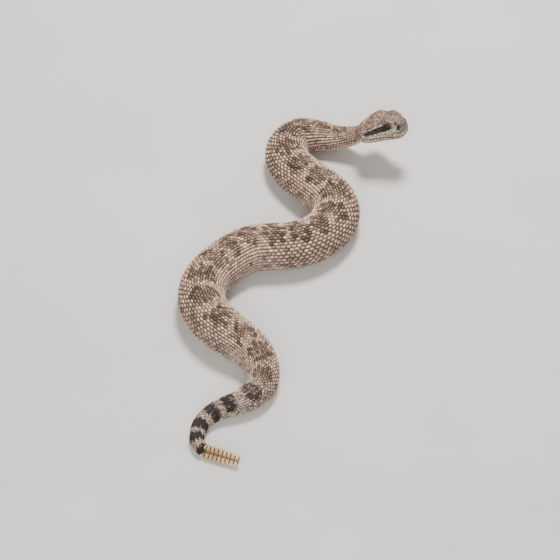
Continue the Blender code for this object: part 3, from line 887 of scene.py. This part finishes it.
def build_body_coat(look, tail_look):
    """The scales from the back of the head to the rattle, in five pieces."""
    rng = np.random.default_rng(SEED)
    s, t, wide, row = scale_lattice()

    def varied(amount):
        return rng.normal(0, amount, len(s))

    across = wide * sample(ROUND, s, t)
    pitch = scale_pitch(s)
    beads = between(0.16, 0.05, s)
    on_tail = between(0.528, 0.545, s)
    points = laid_scales({
        "s": s + varied(SCALE_JITTER) * pitch,
        "t": t + varied(SCALE_JITTER) * wide,
        "length": pitch * (SCALE_LENGTH - BEAD_SHORTER * beads) * (1 + varied(SCALE_JITTER)),
        "half": across * (SCALE_HALF - BEAD_NARROWER * beads - TAIL_NARROWER * on_tail)
        * (1 + varied(SCALE_JITTER)),
        "rise": np.clip(across * SCALE_RISE, *RISE_LIMITS),
        "keel": np.where(row >= ROWS, LOWEST_KEEL, FULL_KEEL),
        "dome": np.where(row >= ROWS, 0.30, 0.28),
        "sink": 0.75,
        "tip": 0.80,
        "thick": 0.45,
        "skew": varied(SCALE_SKEW),
    })
    tints = scale_tints(s, t, rng)
    for name, begin, end in PIECES:
        mine = (s >= begin) & (s < end)
        its_look, slot = (tail_look, "tail_skin") if name == "tail" else (look, "skin")
        dress(f"coat_{name}", points[mine], tints[mine], s[mine], t[mine], its_look,
              begin - 0.01, end + 0.01)


def build_scutes(look):
    """Belly scutes: each a broad plate from edge to edge, lapping over the next one."""
    rng = np.random.default_rng(SEED + 1)
    stations = row_stations(SCUTE_FIRST, BODY_LENGTH - SCUTE_END_GAP)[:-1, None]
    count = len(stations)
    n, m = len(SCUTE_ALONG), SCUTE_POINTS
    under, size = n * m, 2 * n * m
    x, y = (np.tile(g, 2) for g in grid(SCUTE_ALONG, np.linspace(-1, 1, m)))
    lower = np.arange(size) >= under
    cells, rim = sheet(n, m)
    template = []
    for a in cells:
        b = a + under
        template += [(a, a + 1, a + m + 1, a + m), (b, b + m, b + m + 1, b + 1)]
    template += [(a, a + under, b + under, b) for a, b in rim]
    faces = [tuple(v + k * size for v in face) for k in range(count) for face in template]
    reach = SCUTE_REACH * scale_pitch(stations) * (1 - 0.30 * np.abs(y) ** 3)
    along = np.minimum(stations + (x - 0.25) * reach, BODY_END)
    around = 0.5 + y * (0.5 - SIDE_EDGE + SCUTE_LAP)
    heights = (-0.20 + 0.52 * x) * 0.001 * (0.45 + 0.55 * width(stations) / BODY_WIDTH) - lower * SCUTE_THICK
    surface = sample(POINTS, along, around)
    points = surface + sample(NORMALS, along, around) * heights[..., None]
    points[..., 2] = np.maximum(points[..., 2], 0.0)
    tints = coat_colour(along, around, surface) * np.exp(rng.normal(0, 0.05, count))[:, None, None]
    speckle = waves(along * 1500 + around * 60, 41) * waves(around * 130 - along * 700, 42)
    tints = mixed(tints, DARK, 0.18 * positive(speckle))
    lie = stacked(x, y * 0.5, rng.uniform(0, 1, count)[:, None])
    uv = stacked(inset(stations / BODY_LENGTH) + (x - 0.5) * 0.006, 0.5 + y * 0.45)
    mesh_object("belly_scutes", points, faces, look, tints, lie, uv)


def build_skin(look):
    """The one skin under the scales, closed at the snout and at the rattle."""
    faces = FACES.tolist()
    faces.append(tuple(range(AROUND)))
    faces.append(tuple(range(len(STATIONS) * AROUND - 1, (len(STATIONS) - 1) * AROUND - 1, -1)))
    s, t = grid(STATIONS, TURN_SHARE)
    colour = coat_colour(s, t, POINTS.reshape(-1, 3))
    lie = stacked(s * 40, t, between(-0.030, -0.045, s))
    uv = stacked(inset(np.clip((s + HEAD_LENGTH) / (HEAD_LENGTH + BODY_LENGTH), 0, 1)), inset(t))
    skin = mesh_object("skin", POINTS, faces, look, colour, lie, uv)
    # where the last column meets the first, the bake map goes on to its far edge
    layer = skin.data.uv_layers["OFBake"].data
    values = np.empty(len(layer) * 2)
    layer.foreach_get("uv", values)
    column = FACES % AROUND
    crossing = (column.min(axis=1) == 0) & (column.max(axis=1) == AROUND - 1)
    far_edge = (crossing[:, None] & (column == 0)).ravel()
    values.reshape(-1, 2)[:FACES.size][far_edge, 1] = inset(1.0)
    layer.foreach_set("uv", values)
    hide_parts("head", "lower_jaw", "neck", "torso_1", "torso_2", "torso_3", "torso_4", "torso_5",
                "torso_6", "tail_1", "tail_2")


# Head plates and scales, pressed onto the skin at places in the head's axes

def pressed_scales(scales):
    """Points of scales pressed onto the head's skin, and their middles in the head's axes."""
    made, middles = np.empty((len(scales), len(SCALE_X), 3)), []
    turn = HEAD.to_3x3()
    for points, scale in zip(made, scales):
        foot, normal, _, _ = TREE.find_nearest(Vector(from_head(np.array(scale["place"]))))
        back = turn @ Vector(scale["back"])
        back = (back - normal * back.dot(normal)).normalized()
        across = normal.cross(back)
        x, y = scale["shape"]
        heights = scale_heights(scale)[0]
        for k in range(len(points)):
            spot = foot + back * (x[k] * scale["length"]) + across * (y[k] * scale["half"])
            near, out, _, _ = TREE.find_nearest(spot)
            points[k] = near + out * (heights[k] * scale["rise"])
        middles.append(to_head(np.array(foot)))
    return made, np.array(middles)


def plate(place, back, size, rise, dome=0.9, corner=3.2):
    """A plate with a rounded box for an outline."""
    x = (SCALE_X - 0.5) * 2
    wide = (1 - np.minimum(0.985, np.abs(x)) ** corner) ** (1 / corner)
    return {"place": place, "back": back, "length": size[0], "half": size[1] / 2, "rise": rise, "keel": 0.0,
            "dome": dome, "sink": 0.25, "tip": 0.30, "thick": 1.2,
            "shape": (x / 2, SCALE_Y * np.maximum(wide, 0.25))}


def lip_line(side):
    """Evenly spaced places and directions along the mouth, from its corner to the snout, and their gap."""
    shares = np.concatenate([np.linspace(JAW_START, SNOUT_START, 60),
                             snout_shares(np.linspace(0.05, math.pi / 2, 40))])
    half = half_width_at(shares) * snout_close(shares)
    curve = stacked(shares * HEAD_LENGTH, side * half, mouth_at(shares))
    arcs = travelled(curve)
    stops = np.linspace(0.015, 0.93, LIP_PLATES) * arcs[-1]
    ahead = on_line(stops + 0.0004, arcs, curve) - on_line(stops - 0.0004, arcs, curve)
    return on_line(stops, arcs, curve), unit(ahead), stops[1] - stops[0]


def head_plates(rng):
    """The head's large plates: both sides, then the two at the snout's front."""
    plates = []
    for side in SIDES:
        places, ahead, gap = lip_line(side)
        for way, heights, spread, off_mouth, lean, rise in LIP_ROWS:
            for k in range(LIP_PLATES):
                tall = at_knots(k, heights) * rng.uniform(1 - spread, 1 + spread)
                place = places[k] + (0, 0, way * (tall / 2 + off_mouth))
                back = (0, 0, lean) - ahead[k]
                plates.append(plate(place, back, (gap * 1.10, tall), rise, 0.50, LIP_CORNER))
        for (x, z), (long, tall), angles, size, rise in CHEEK_RINGS:
            for angle in np.radians(np.linspace(*angles)):
                place = on_cheek(x + long * math.cos(angle), z + tall * math.sin(angle), side)
                plates.append(plate(place, (-math.sin(angle), 0, math.cos(angle)), size, rise))
        for (x, z), back, size in CHEEK_PLATES:
            plates.append(plate(on_cheek(x, z, side), back, size, 0.00034))
        for x, turn, size, upwards in SNOUT_PLATES:
            place = to_head(sample(POINTS, np.array([-x]), np.array([-side * turn])))[0]
            plates.append(plate(place, (-1, side * -0.15, upwards), size, 0.00036))
    front = HEAD_LENGTH + 0.001
    plates.append(plate((front, 0, 0.0084), (0, 0, -1), (0.0062, 0.0058), 0.00036, 1.0))
    plates.append(plate((front, 0, 0.0026), (0, 0, 1), (0.0030, 0.0046), 0.00030, 0.8))
    return plates


def brow_place(side, along, across):
    """Places of the brow plate seen from above, for shares -1 to 1 along it and out across it."""
    narrow = (1 - np.minimum(0.99, np.abs(along)) ** 2.2) ** (1 / 2.2)
    rim = on_cheek(*EYE_PLACE, 1)[1] - 0.0005
    x = EYE_PLACE[0] + BROW_AHEAD + along * BROW_SIZE[0] / 2
    return x, side * (rim + (across * narrow - 1) * BROW_SIZE[1] / 2)


def head_spots(rng):
    """Staggered places over the head, from the snout to the nape, with the pitch and share round at each."""
    steps = np.linalg.norm(np.diff(POINTS[:HEAD_RINGS], axis=0), axis=2).mean(axis=1)
    distances = np.concatenate([[0], np.cumsum(steps)])
    found, reached, staggered = [], HEAD_STARTS[0], False
    while True:
        ring = int(np.searchsorted(distances, reached))
        x = -STATIONS[ring]
        if x < HEAD_STARTS[1]:
            return np.concatenate(found).T
        pitch = at_knots(x, HEAD_PITCHES)
        for way in SIDES:
            line = POINTS[ring][np.arange(AROUND // 2 + 1) * way % AROUND]
            arcs = travelled(line)
            stops = np.arange(0.5 if staggered else 0, arcs[-1] / pitch) * pitch
            if way == -1 and not staggered:
                stops = stops[1:]
            spots = on_line(stops, arcs, line) + rng.normal(0, HEAD_JITTER, (len(stops), 3)) * pitch
            turns = np.interp(stops, arcs, np.arange(len(line))) / AROUND
            found.append(np.column_stack([to_head(spots), np.full(len(stops), pitch), turns]))
        reached += pitch * HEAD_ROW_GAP
        staggered = not staggered


def head_scales(rng, plates):
    """Small scales over the rest of the head, larger and more keeled towards the neck."""
    x, y, z, pitches, turns = head_spots(rng)
    points = stacked(x, y, z)
    above = z - mouth_at(np.clip(x / HEAD_LENGTH, 0, 1))
    on_lip = (x > JAW_START * HEAD_LENGTH) & (above < 0.0030) & (above > -0.0022) & (np.abs(y) > 0.003)
    brow_x, brow_y = brow_place(1, 0.0, 0.0)
    off_brow = ((x - brow_x) / BROW_SIZE[0]) ** 2 + ((np.abs(y) - brow_y) / BROW_SIZE[1]) ** 2
    under_brow = (off_brow * 4 < 0.95) & (z > EYE_PLACE[1])
    free = ~under_brow & ~on_lip & ((x > 0.0105) | (turns > SIDE_EDGE + 0.004))
    for side in SIDES:
        for place, clear in CLEARINGS:
            free &= np.linalg.norm(points - on_cheek(*place, side), axis=1) > clear
    for taken in plates:
        away = points - taken["place"]
        along = away @ unit(np.array(taken["back"], float))
        aside = np.sqrt(np.maximum(0, (away**2).sum(axis=1) - along**2))
        long, wide = taken["length"] / 2 + PLATE_MARGIN, taken["half"] + PLATE_MARGIN
        free &= (along / long) ** 2 + (aside / wide) ** 2 > 1
    scales = []
    for place, pitch in zip(points[free], pitches[free]):
        back = between(0.034, 0.014, place[0])
        ahead = between(0.042, 0.048, place[0])
        upwards = float(between(0.0470, 0.0520, place[0])) * (1.2 if place[2] > 0.0040 else -1.2) - 0.1
        scales.append({"place": place, "back": (-1, float(np.clip(place[1] * 18, -0.3, 0.3)), upwards),
                       "length": pitch * (1.22 + 0.38 * back + 0.14 * ahead), "rise": pitch * 0.20,
                       "half": pitch * (0.54 + 0.06 * ahead), "keel": 0.15 + 0.40 * back,
                       "dome": 1.05 - 0.5 * back, "sink": 0.5, "tip": 0.55, "thick": 0.6, "shape": POINTED})
    return scales


def build_head_coat(plate_look, small_look):
    """The head's large plates as one piece and its small scales as another."""
    rng = np.random.default_rng(SEED + 2)
    plates = head_plates(rng)
    scales = head_scales(rng, plates)
    for name, group, spread, look in (("head_plates", plates, 0.15, plate_look),
                                      ("coat_head", scales, 0.50, small_look)):
        points, middles = pressed_scales(group)
        shade = np.clip(np.exp(rng.normal(0, spread, len(group))), 0.45, 1.35)
        tints = held_in(head_colour(to_head(points)) * shade[:, None, None])
        t = np.arctan2(-middles[:, 1], middles[:, 2] - 0.005) / (2 * math.pi)
        dress(name, points, tints, -middles[:, 0], t, look, -0.056, 0.0)


def build_brows(look):
    """The large plate over each eye: it follows the crown and stands out over the eye with a hard rim."""
    n, m = BROW_GRID
    under = n * m
    along, across = (np.tile(g, 2) for g in grid(np.linspace(-1, 1, n), np.linspace(-1, 1, m)))
    lower = np.arange(2 * under) >= under
    cells, rim = sheet(n, m)
    template = []
    for a in cells:
        upper = (a, a + m, a + m + 1, a + 1)
        template += [upper, tuple(v + under for v in upper[::-1])]
    template += [(a, b, b + under, a + under) for a, b in rim]
    growth = waves(across * 17 + along * 3.0 + 1.5 * waves(along * 4, 54), 53)
    swell = BROW_DOME * (1 - across**2) * (1 - along**2) + BROW_GROWTH * growth * (1 - across**4)
    swell -= BROW_ROLL * (across**6 * (1 - 0.4 * (across > 0)) + along**8)
    swell -= lower * (BROW_THICK + BROW_THICKER * between(0.2, -1.0, across))
    edge = np.maximum(between(0.70, 0.93, np.abs(along)), between(-0.60, -0.92, across))
    rim_light = between(0.62, 0.80, across) * between(1.02, 0.88, across) * (1 - along**6)
    down = HEAD.to_3x3() @ Vector((0, 0, -1))
    all_points, faces, tints, uv = [], [], [], []
    for side in SIDES:
        x, y = brow_place(side, along, across)
        hits = [TREE.ray_cast(Vector(p), down)[0] or Vector(p) for p in from_head(stacked(x, y, 0.040))]
        crown = to_head(np.array(hits))[:, 2]
        crown = np.where(crown > 0.030, 0, crown)
        outer = EYE_PLACE[1] + BROW_RISE - 0.10 * (x - EYE_PLACE[0]) - 0.0012 * along**2
        points = stacked(x, y, np.logaddexp(crown / BROW_JOIN, outer / BROW_JOIN) * BROW_JOIN + swell)
        blots = waves(x * 1900 + y * 600, 52) * waves(y * 2300 - x * 500, 55)
        start = len(all_points) * len(points)
        faces += [tuple(start + v for v in face[::side]) for face in template]
        # darker at the plate's ends and inner edge, and its underside darkened as painted shade
        tints.append(layered(
            head_colour(points) * 0.80,
            (DARK, 0.22 * positive(growth)), (DARK, 0.70 * positive(blots)), (PALE, 0.30 * positive(-blots)),
            (PALE, 0.80 * rim_light), (DARK, 0.85 * edge), (DARK, 0.65 * lower)))
        uv.append(stacked((along + 1) / 2 * 0.45 + 0.02 + 0.5 * lower,
                          (across + 1) / 2 * 0.42 + 0.03 + 0.5 * (side < 0)))
        all_points.append(points)
    points = np.concatenate(all_points)
    lie = stacked(points[:, 0] * 480, points[:, 1] * 110, 0.5)
    mesh_object("brow_plates", from_head(points), faces, look, np.concatenate(tints), lie, np.concatenate(uv))


def sphere(segments, rings):
    """Points and faces of a unit ball with poles on X."""
    points = [(1.0, 0.0, 0.0)]
    for i in range(1, rings):
        out, wide = math.cos(math.pi * i / rings), math.sin(math.pi * i / rings)
        for j in range(segments):
            angle = 2 * math.pi * j / segments
            points.append((out, wide * math.cos(angle), wide * math.sin(angle)))
    points.append((-1.0, 0.0, 0.0))
    faces = []
    for j in range(segments):
        k = (j + 1) % segments
        faces.append((0, 1 + j, 1 + k))
        for a in range(1, 1 + (rings - 2) * segments, segments):
            faces.append((a + j, a + segments + j, a + segments + k, a + k))
        a = 1 + (rings - 2) * segments
        faces.append((a + j, len(points) - 1, a + k))
    return np.array(points), faces


def build_eyes(look):
    """A ball in each socket, with its pole outwards."""
    ball, faces = sphere(*EYE_MESH)
    out, ahead, up = ball.T
    for side, name in zip(SIDES, ("left", "right")):
        place = on_cheek(*EYE_PLACE, side, EYE_DEPTH - EYE_PROUD)
        points = stacked(ahead, side * out, up) * (EYE_DIAMETER / 2 * EYE_LARGER) + place
        uv = stacked(0.25 + 0.22 * ahead + 0.5 * (out < 0), 0.5 + 0.45 * up)
        eye = mesh_object(f"eye_ball_{name}", from_head(points), [face[::-side] for face in faces], look,
                          np.broadcast_to(EYE, points.shape), stacked(ahead, up, out), uv)
        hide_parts(f"eye_{name}")


# The rattle

def rattle_frames(stops):
    """Where the rattle's sections are: out of the tail's end, round a bend, then straight."""
    place, ahead, _, _ = (Vector(v[0]) for v in spine(BODY_LENGTH))
    place = place - ahead * NODE_GAP / 2
    start = math.atan2(-ahead.y, -ahead.x)
    along = np.linspace(0, max(stops), 400)
    turned = smooth(along / RATTLE_BEND)
    heading = start + (RATTLE_HEADING - start) * turned
    x, y = np.cumsum(np.cos(heading)) * along[1], np.cumsum(np.sin(heading)) * along[1]
    frames = []
    for stop in stops:
        out, across, angle, rise = (float(np.interp(stop, along, line)) for line in (x, y, heading, turned))
        shift = Matrix.Translation(place + Vector((out, across, RATTLE_RISE * rise)))
        turn = Matrix.Rotation(angle, 4, "Z") @ Matrix.Rotation(RATTLE_ROLL, 4, "X")
        frames.append(np.array(shift @ turn))
    return frames


def build_rattle(look):
    """Nested rings of horn, each a closed form lapping over the start of the next."""
    rng = np.random.default_rng(SEED + 3)
    points, faces, colours, lie, uv = [], [], [], [], []
    angles = np.linspace(0, 2 * math.pi, RATTLE_AROUND, endpoint=False)
    up, aside = np.cos(angles), np.sin(angles)
    across = -RATTLE_THICKNESS / 2 * aside * (1 - GROOVE_DEPTH * bump(up, 0, 0.30))
    tall = RATTLE_HEIGHT / 2 * RATTLE_BROADER * np.sign(up) * np.abs(up) ** 0.80
    section = stacked(0, across, tall)
    for i in range(SEGMENTS + 1):
        full = (1.0 - 0.030 * max(0, i - 4) ** 1.4) * (RATTLE_LARGER + 0.008 * math.sin(i * 2.3))
        tone = math.exp(rng.normal(0, TONE_SPREAD)) * (TONE_FIRST + TONE_STEP * i)
        frames = rattle_frames([max(0, (i + share) * SEGMENT_PITCH) for share, _ in SEGMENT_PROFILE])
        first = len(points) * RATTLE_AROUND
        for at, (share, size) in zip(frames, SEGMENT_PROFILE):
            wrinkle = waves(angles * 5 + i * 3.1, 61) * waves(share * 14 + i * 1.7, 62)
            ring = section * size * full * (1 + 0.016 * wrinkle * between(1.0, 0.8, share))[:, None]
            points.append(ring @ at[:3, :3].T + at[:3, 3] + (0, 0, RATTLE_LIFT))
            # painted shade: each ring darkened at its ends, where it meets its neighbours, and along the
            # groove between its two rows of beads
            dark = np.maximum(between(0.24, -0.02, share), between(0.70, 0.92, share))
            colours.append(mixed(HORN, HORN_SHADE, np.maximum(dark, bump(up, 0, 0.15) * 0.88)) * tone)
            lie.append(stacked(share + i, up, aside))
            uv.append(stacked((i + (share + 0.1) / 1.1 * 0.96) / (SEGMENTS + 1),
                              0.01 + np.abs(angles / (2 * math.pi) - 0.5) * 1.9))
        last = (len(points) - 1) * RATTLE_AROUND
        for a in range(first, last, RATTLE_AROUND):
            b = a + RATTLE_AROUND
            for j in range(RATTLE_AROUND):
                k = (j + 1) % RATTLE_AROUND
                faces.append((a + j, b + j, b + k, a + k))
        faces.append(tuple(range(first, first + RATTLE_AROUND)))
        faces.append(tuple(range(last + RATTLE_AROUND - 1, last - 1, -1)))
    rattle = mesh_object("rattle_horn", np.concatenate(points), faces, look, np.concatenate(colours),
                         np.concatenate(lie), np.concatenate(uv))
    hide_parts("rattle")


# Materials

class Look:
    """A Principled material, built node by node."""

    def __init__(self, name, roughness, **settings):
        self.made = bpy.data.materials.new(name)
        self.made.use_nodes = True
        self.tree = self.made.node_tree
        self.shader = self.tree.nodes["Principled BSDF"]
        self.shader.inputs["Roughness"].default_value = roughness
        for socket, value in settings.items():
            self.shader.inputs[socket.replace("_", " ")].default_value = value

    def fill(self, socket, value):
        """Links an output to a socket, or sets the socket to a number or colour."""
        if isinstance(value, bpy.types.NodeSocket):
            self.tree.links.new(value, socket)
        elif isinstance(value, tuple):
            socket.default_value = (*value, 1)
        else:
            socket.default_value = value

    def node(self, kind, inputs, **settings):
        made = self.tree.nodes.new(kind)
        for key, value in settings.items():
            setattr(made, key, value)
        for key, value in inputs.items():
            self.fill(made.inputs[key], value)
        return made

    def attribute(self, name, output):
        return self.node("ShaderNodeAttribute", {}, attribute_name=name).outputs[output]

    def lie(self):
        """The three numbers that say where on its scale a point is."""
        return self.node("ShaderNodeSeparateXYZ", {0: self.attribute("lie", "Vector")}).outputs

    def together(self, *numbers):
        """A vector of up to three numbers."""
        return self.node("ShaderNodeCombineXYZ", dict(enumerate(numbers))).outputs[0]

    def math(self, operation, a, b=0.0):
        return self.node("ShaderNodeMath", {0: a, 1: b}, operation=operation).outputs[0]

    def times(self, a, b):
        return self.math("MULTIPLY", a, b)

    def ramp(self, value, low, high, to_low=0.0, to_high=1.0):
        return self.node("ShaderNodeMapRange", {"Value": value, "From Min": low, "From Max": high,
                                                "To Min": to_low, "To Max": to_high},
                         interpolation_type="SMOOTHSTEP").outputs[0]

    def noise(self, scale, detail, vector=None):
        vector = vector or self.node("ShaderNodeTexCoord", {}).outputs["Object"]
        inputs = {"Scale": scale, "Detail": detail, "Roughness": 0.6, "Vector": vector}
        return self.node("ShaderNodeTexNoise", inputs).outputs["Fac"]

    def mix(self, share, a, b, blend="MIX"):
        inputs = {0: share, 6: a, 7: b}
        return self.node("ShaderNodeMix", inputs, data_type="RGBA", blend_type=blend).outputs[2]

    def uneven(self, colour, *layers):
        """The colour darker where each value is low and lighter where it is high."""
        for share, value, low, high, dark, light in layers:
            shade = self.mix(self.ramp(value, low, high), dark, light)
            colour = self.mix(share, colour, shade, "MULTIPLY")
        return colour

    def finish(self, colour, height, distance, roughness=None):
        self.fill(self.shader.inputs["Base Color"], colour)
        bumps = self.node("ShaderNodeBump", {"Height": height, "Distance": distance, "Strength": 1.0})
        self.fill(self.shader.inputs["Normal"], bumps.outputs[0])
        if roughness is not None:
            self.fill(self.shader.inputs["Roughness"], roughness)
        return self.made


def scale_look(name, keel, edge, roughness):
    """Dry keratin: painted highlights on the keels, partly their own paler colour, painted shade at the
    scales' edges, tips and bases, fine lengthwise grain and dusty mottling.
    """
    look = Look(name, roughness, Specular_IOR_Level=0.22)
    along, across, seed = look.lie()
    off = look.math("ABSOLUTE", across)
    dust = look.noise(520, 5)
    grain = look.noise(3800, 3)
    lines = look.noise(2.2, 3, look.together(look.times(along, 1.6), look.times(across, 7.0),
                                             look.times(seed, 60.0)))
    colour = look.uneven(
        look.attribute("coat_colour", "Color"),
        (0.55, dust, 0.32, 0.68, (0.55, 0.53, 0.52), (1.3, 1.3, 1.3)),
        (0.45, lines, 0.3, 0.7, (0.6, 0.58, 0.56), (1.25, 1.25, 1.25)),
        (0.30, grain, 0.35, 0.65, (0.7, 0.7, 0.7), (1.2, 1.2, 1.2)),
    )
    # painted shade: each scale's edges, tip and base darkened, as if shaded where the scales overlap and
    # part; the edge argument sets how strongly, less where the seed is low
    gap_shade = look.math("MAXIMUM", look.ramp(off, 0.52, 0.96), look.ramp(along, 0.84, 1.0))
    gap_shade = look.math("MAXIMUM", gap_shade, look.ramp(along, 0.50, 0.20))
    deep = look.mix(1.0, colour, (0.30, 0.27, 0.25), "MULTIPLY")
    colour = look.mix(look.times(gap_shade, look.ramp(seed, 0.0, 0.9, 0.70 * edge, edge)), colour, deep)
    # painted highlight along each keel, partly the keel's own paler colour; the keel argument sets how
    # strongly, more where the seed is high
    ridge = look.times(look.ramp(off, 0.52, 0.10), look.ramp(along, 0.22, 0.50))
    keel_highlight = look.times(ridge, look.ramp(seed, 0.0, 1.0, 0.55 * keel, 1.25 * keel))
    bright = look.mix(0.12, look.mix(1.0, colour, (1.95, 1.85, 1.75), "MULTIPLY"), (0.85, 0.72, 0.60))
    height = look.math("ADD", look.times(lines, 0.6), look.times(grain, 0.4))
    rough = look.ramp(dust, 0.3, 0.7, roughness - 0.10, roughness + 0.12)
    return look.finish(look.mix(keel_highlight, colour, bright), height, 0.00022, rough)


def skin_look():
    """Soft skin between the scales: darkened well below them, partly its own darker colour and partly painted
    shade in the gaps, finely creased.
    """
    look = Look("skin_between", 0.72, Specular_IOR_Level=0.25)
    _, _, on_snout = look.lie()
    fine = look.noise(1800, 5)
    creases = look.node("ShaderNodeTexVoronoi", {"Scale": 1300.0}, feature="DISTANCE_TO_EDGE")
    # painted shade in part: the skin showing in the gaps between the scales darkened towards near black, less
    # on the snout
    colour = look.mix(look.ramp(on_snout, 0.0, 1.0, 0.82, 0.66), look.attribute("coat_colour", "Color"),
                      (0.062, 0.046, 0.038))
    colour = look.uneven(colour, (0.6, fine, 0.3, 0.7, (0.5, 0.5, 0.5), (1.3, 1.25, 1.2)))
    height = look.math("ADD", fine, creases.outputs["Distance"])
    return look.finish(colour, height, 0.0003, look.ramp(fine, 0.3, 0.7, 0.6, 0.85))


def scute_look():
    """Belly scutes: smooth, faintly shining, cream with grey clouds."""
    look = Look("belly_scute", 0.42, Specular_IOR_Level=0.4)
    cloud = look.noise(160, 5)
    fine = look.noise(1500, 4)
    colour = look.mix(look.ramp(cloud, 0.48, 0.66, 0.0, 0.45), look.attribute("coat_colour", "Color"),
                      (0.16, 0.13, 0.11))
    colour = look.uneven(colour, (0.35, fine, 0.3, 0.7, (0.7, 0.68, 0.66), (1.2, 1.2, 1.2)))
    return look.finish(colour, fine, 0.00010, look.ramp(cloud, 0.3, 0.7, 0.36, 0.52))


def eye_look():
    """A wet dark brown eye with an upright slit, under a clear scale."""
    look = Look("eye_look", 0.34, Coat_Weight=0.22, Coat_Roughness=0.05, Specular_IOR_Level=0.2)
    ahead, up, out = look.lie()
    spokes = look.noise(9.0, 5, look.attribute("lie", "Vector"))
    slit = look.math("ADD", look.math("ABSOLUTE", ahead), look.times(look.times(up, up), 0.42))
    colour = look.mix(look.ramp(spokes, 0.35, 0.65), (0.022, 0.018, 0.014), (0.085, 0.070, 0.052))
    colour = look.mix(look.ramp(slit, 0.44, 0.39), colour, (0.15, 0.125, 0.095))
    colour = look.mix(look.ramp(slit, 0.38, 0.33), colour, (0.003, 0.003, 0.003))
    colour = look.mix(look.ramp(out, 0.62, 0.40), colour, (0.012, 0.009, 0.008))
    return look.finish(colour, spokes, 0.00003)


def horn_look():
    """Dry layered horn: warm, a little see-through at the rims, with rings of growth."""
    look = Look("horn_look", 0.38, Specular_IOR_Level=0.45, Subsurface_Weight=0.12, Subsurface_Scale=0.002)
    along, _, _ = look.lie()
    rings = look.noise(7.0, 5, look.together(look.times(along, 5.0)))
    cloud = look.noise(700, 4)
    colour = look.uneven(
        look.attribute("coat_colour", "Color"),
        (0.5, rings, 0.35, 0.65, (0.68, 0.62, 0.55), (1.2, 1.18, 1.12)),
        (0.4, cloud, 0.35, 0.65, (0.7, 0.66, 0.6), (1.15, 1.15, 1.15)),
    )
    height = look.math("ADD", rings, look.times(cloud, 0.5))
    return look.finish(colour, height, 0.00012, look.ramp(cloud, 0.3, 0.7, 0.30, 0.50))


def floor_look():
    """A plain pale floor, very slightly clouded."""
    look = Look("floor_look", 0.9, Specular_IOR_Level=0.1)
    colour = look.mix(look.ramp(look.noise(6, 3), 0.3, 0.7), (0.70, 0.685, 0.66), (0.74, 0.725, 0.70))
    return look.finish(colour, look.noise(900, 2), 0.00005)


# Camera, floor and light

def add_object(name, data):
    """A new object in the scene."""
    made = bpy.data.objects.new(name, data)
    bpy.context.scene.collection.objects.link(made)
    return made


def build_stage():
    floor = bpy.data.meshes.new("floor")
    corners = ((-1, -1), (1, -1), (1, 1), (-1, 1))
    floor.from_pydata([(x * FLOOR_HALF, y * FLOOR_HALF, 0) for x, y in corners], [], [(0, 1, 2, 3)])
    floor.materials.append(floor_look())
    piece = add_object("floor", floor)
    piece.location.z = FLOOR_HEIGHT

    lens = bpy.data.cameras.new("camera")
    lens.sensor_width = SENSOR_WIDTH
    lens.lens = SENSOR_WIDTH * CAMERA_DISTANCE / (IMAGE_WIDTH * METRES_PER_PIXEL)
    camera = add_object("camera", lens)
    back = Vector((0, -math.cos(CAMERA_PITCH), math.sin(CAMERA_PITCH)))
    camera.location = Vector(CAMERA_TARGET) + back * CAMERA_DISTANCE
    camera.rotation_euler = (math.pi / 2 - CAMERA_PITCH, 0, 0)
    bpy.context.scene.camera = camera

    world = bpy.data.worlds.new("soft")
    world.use_nodes = True
    background = world.node_tree.nodes["Background"]
    background.inputs[0].default_value = SKY
    background.inputs[1].default_value = SKY_STRENGTH
    bpy.context.scene.world = world
    for name, place, size, power, tint in LAMPS:
        lamp = bpy.data.lights.new(name, "AREA")
        lamp.size = size
        lamp.energy = power
        lamp.color = tint
        light = add_object(name, lamp)
        light.location = place
        light.rotation_euler = Vector(place).to_track_quat("Z", "Y").to_euler()


def main():
    scales = scale_look("scales", 0.80, 0.95, 0.60)
    tail_scales = scale_look("tail_scales", 0.45, 0.94, 0.60)
    plates = scale_look("plates", 0.10, 0.62, 0.55)
    build_skin(skin_look())
    build_body_coat(scales, tail_scales)
    build_scutes(scute_look())
    build_head_coat(plates, scales)
    build_brows(scale_look("brows", 0.0, 0.0, 0.50))
    build_eyes(eye_look())
    build_rattle(horn_look())
    build_stage()


main()
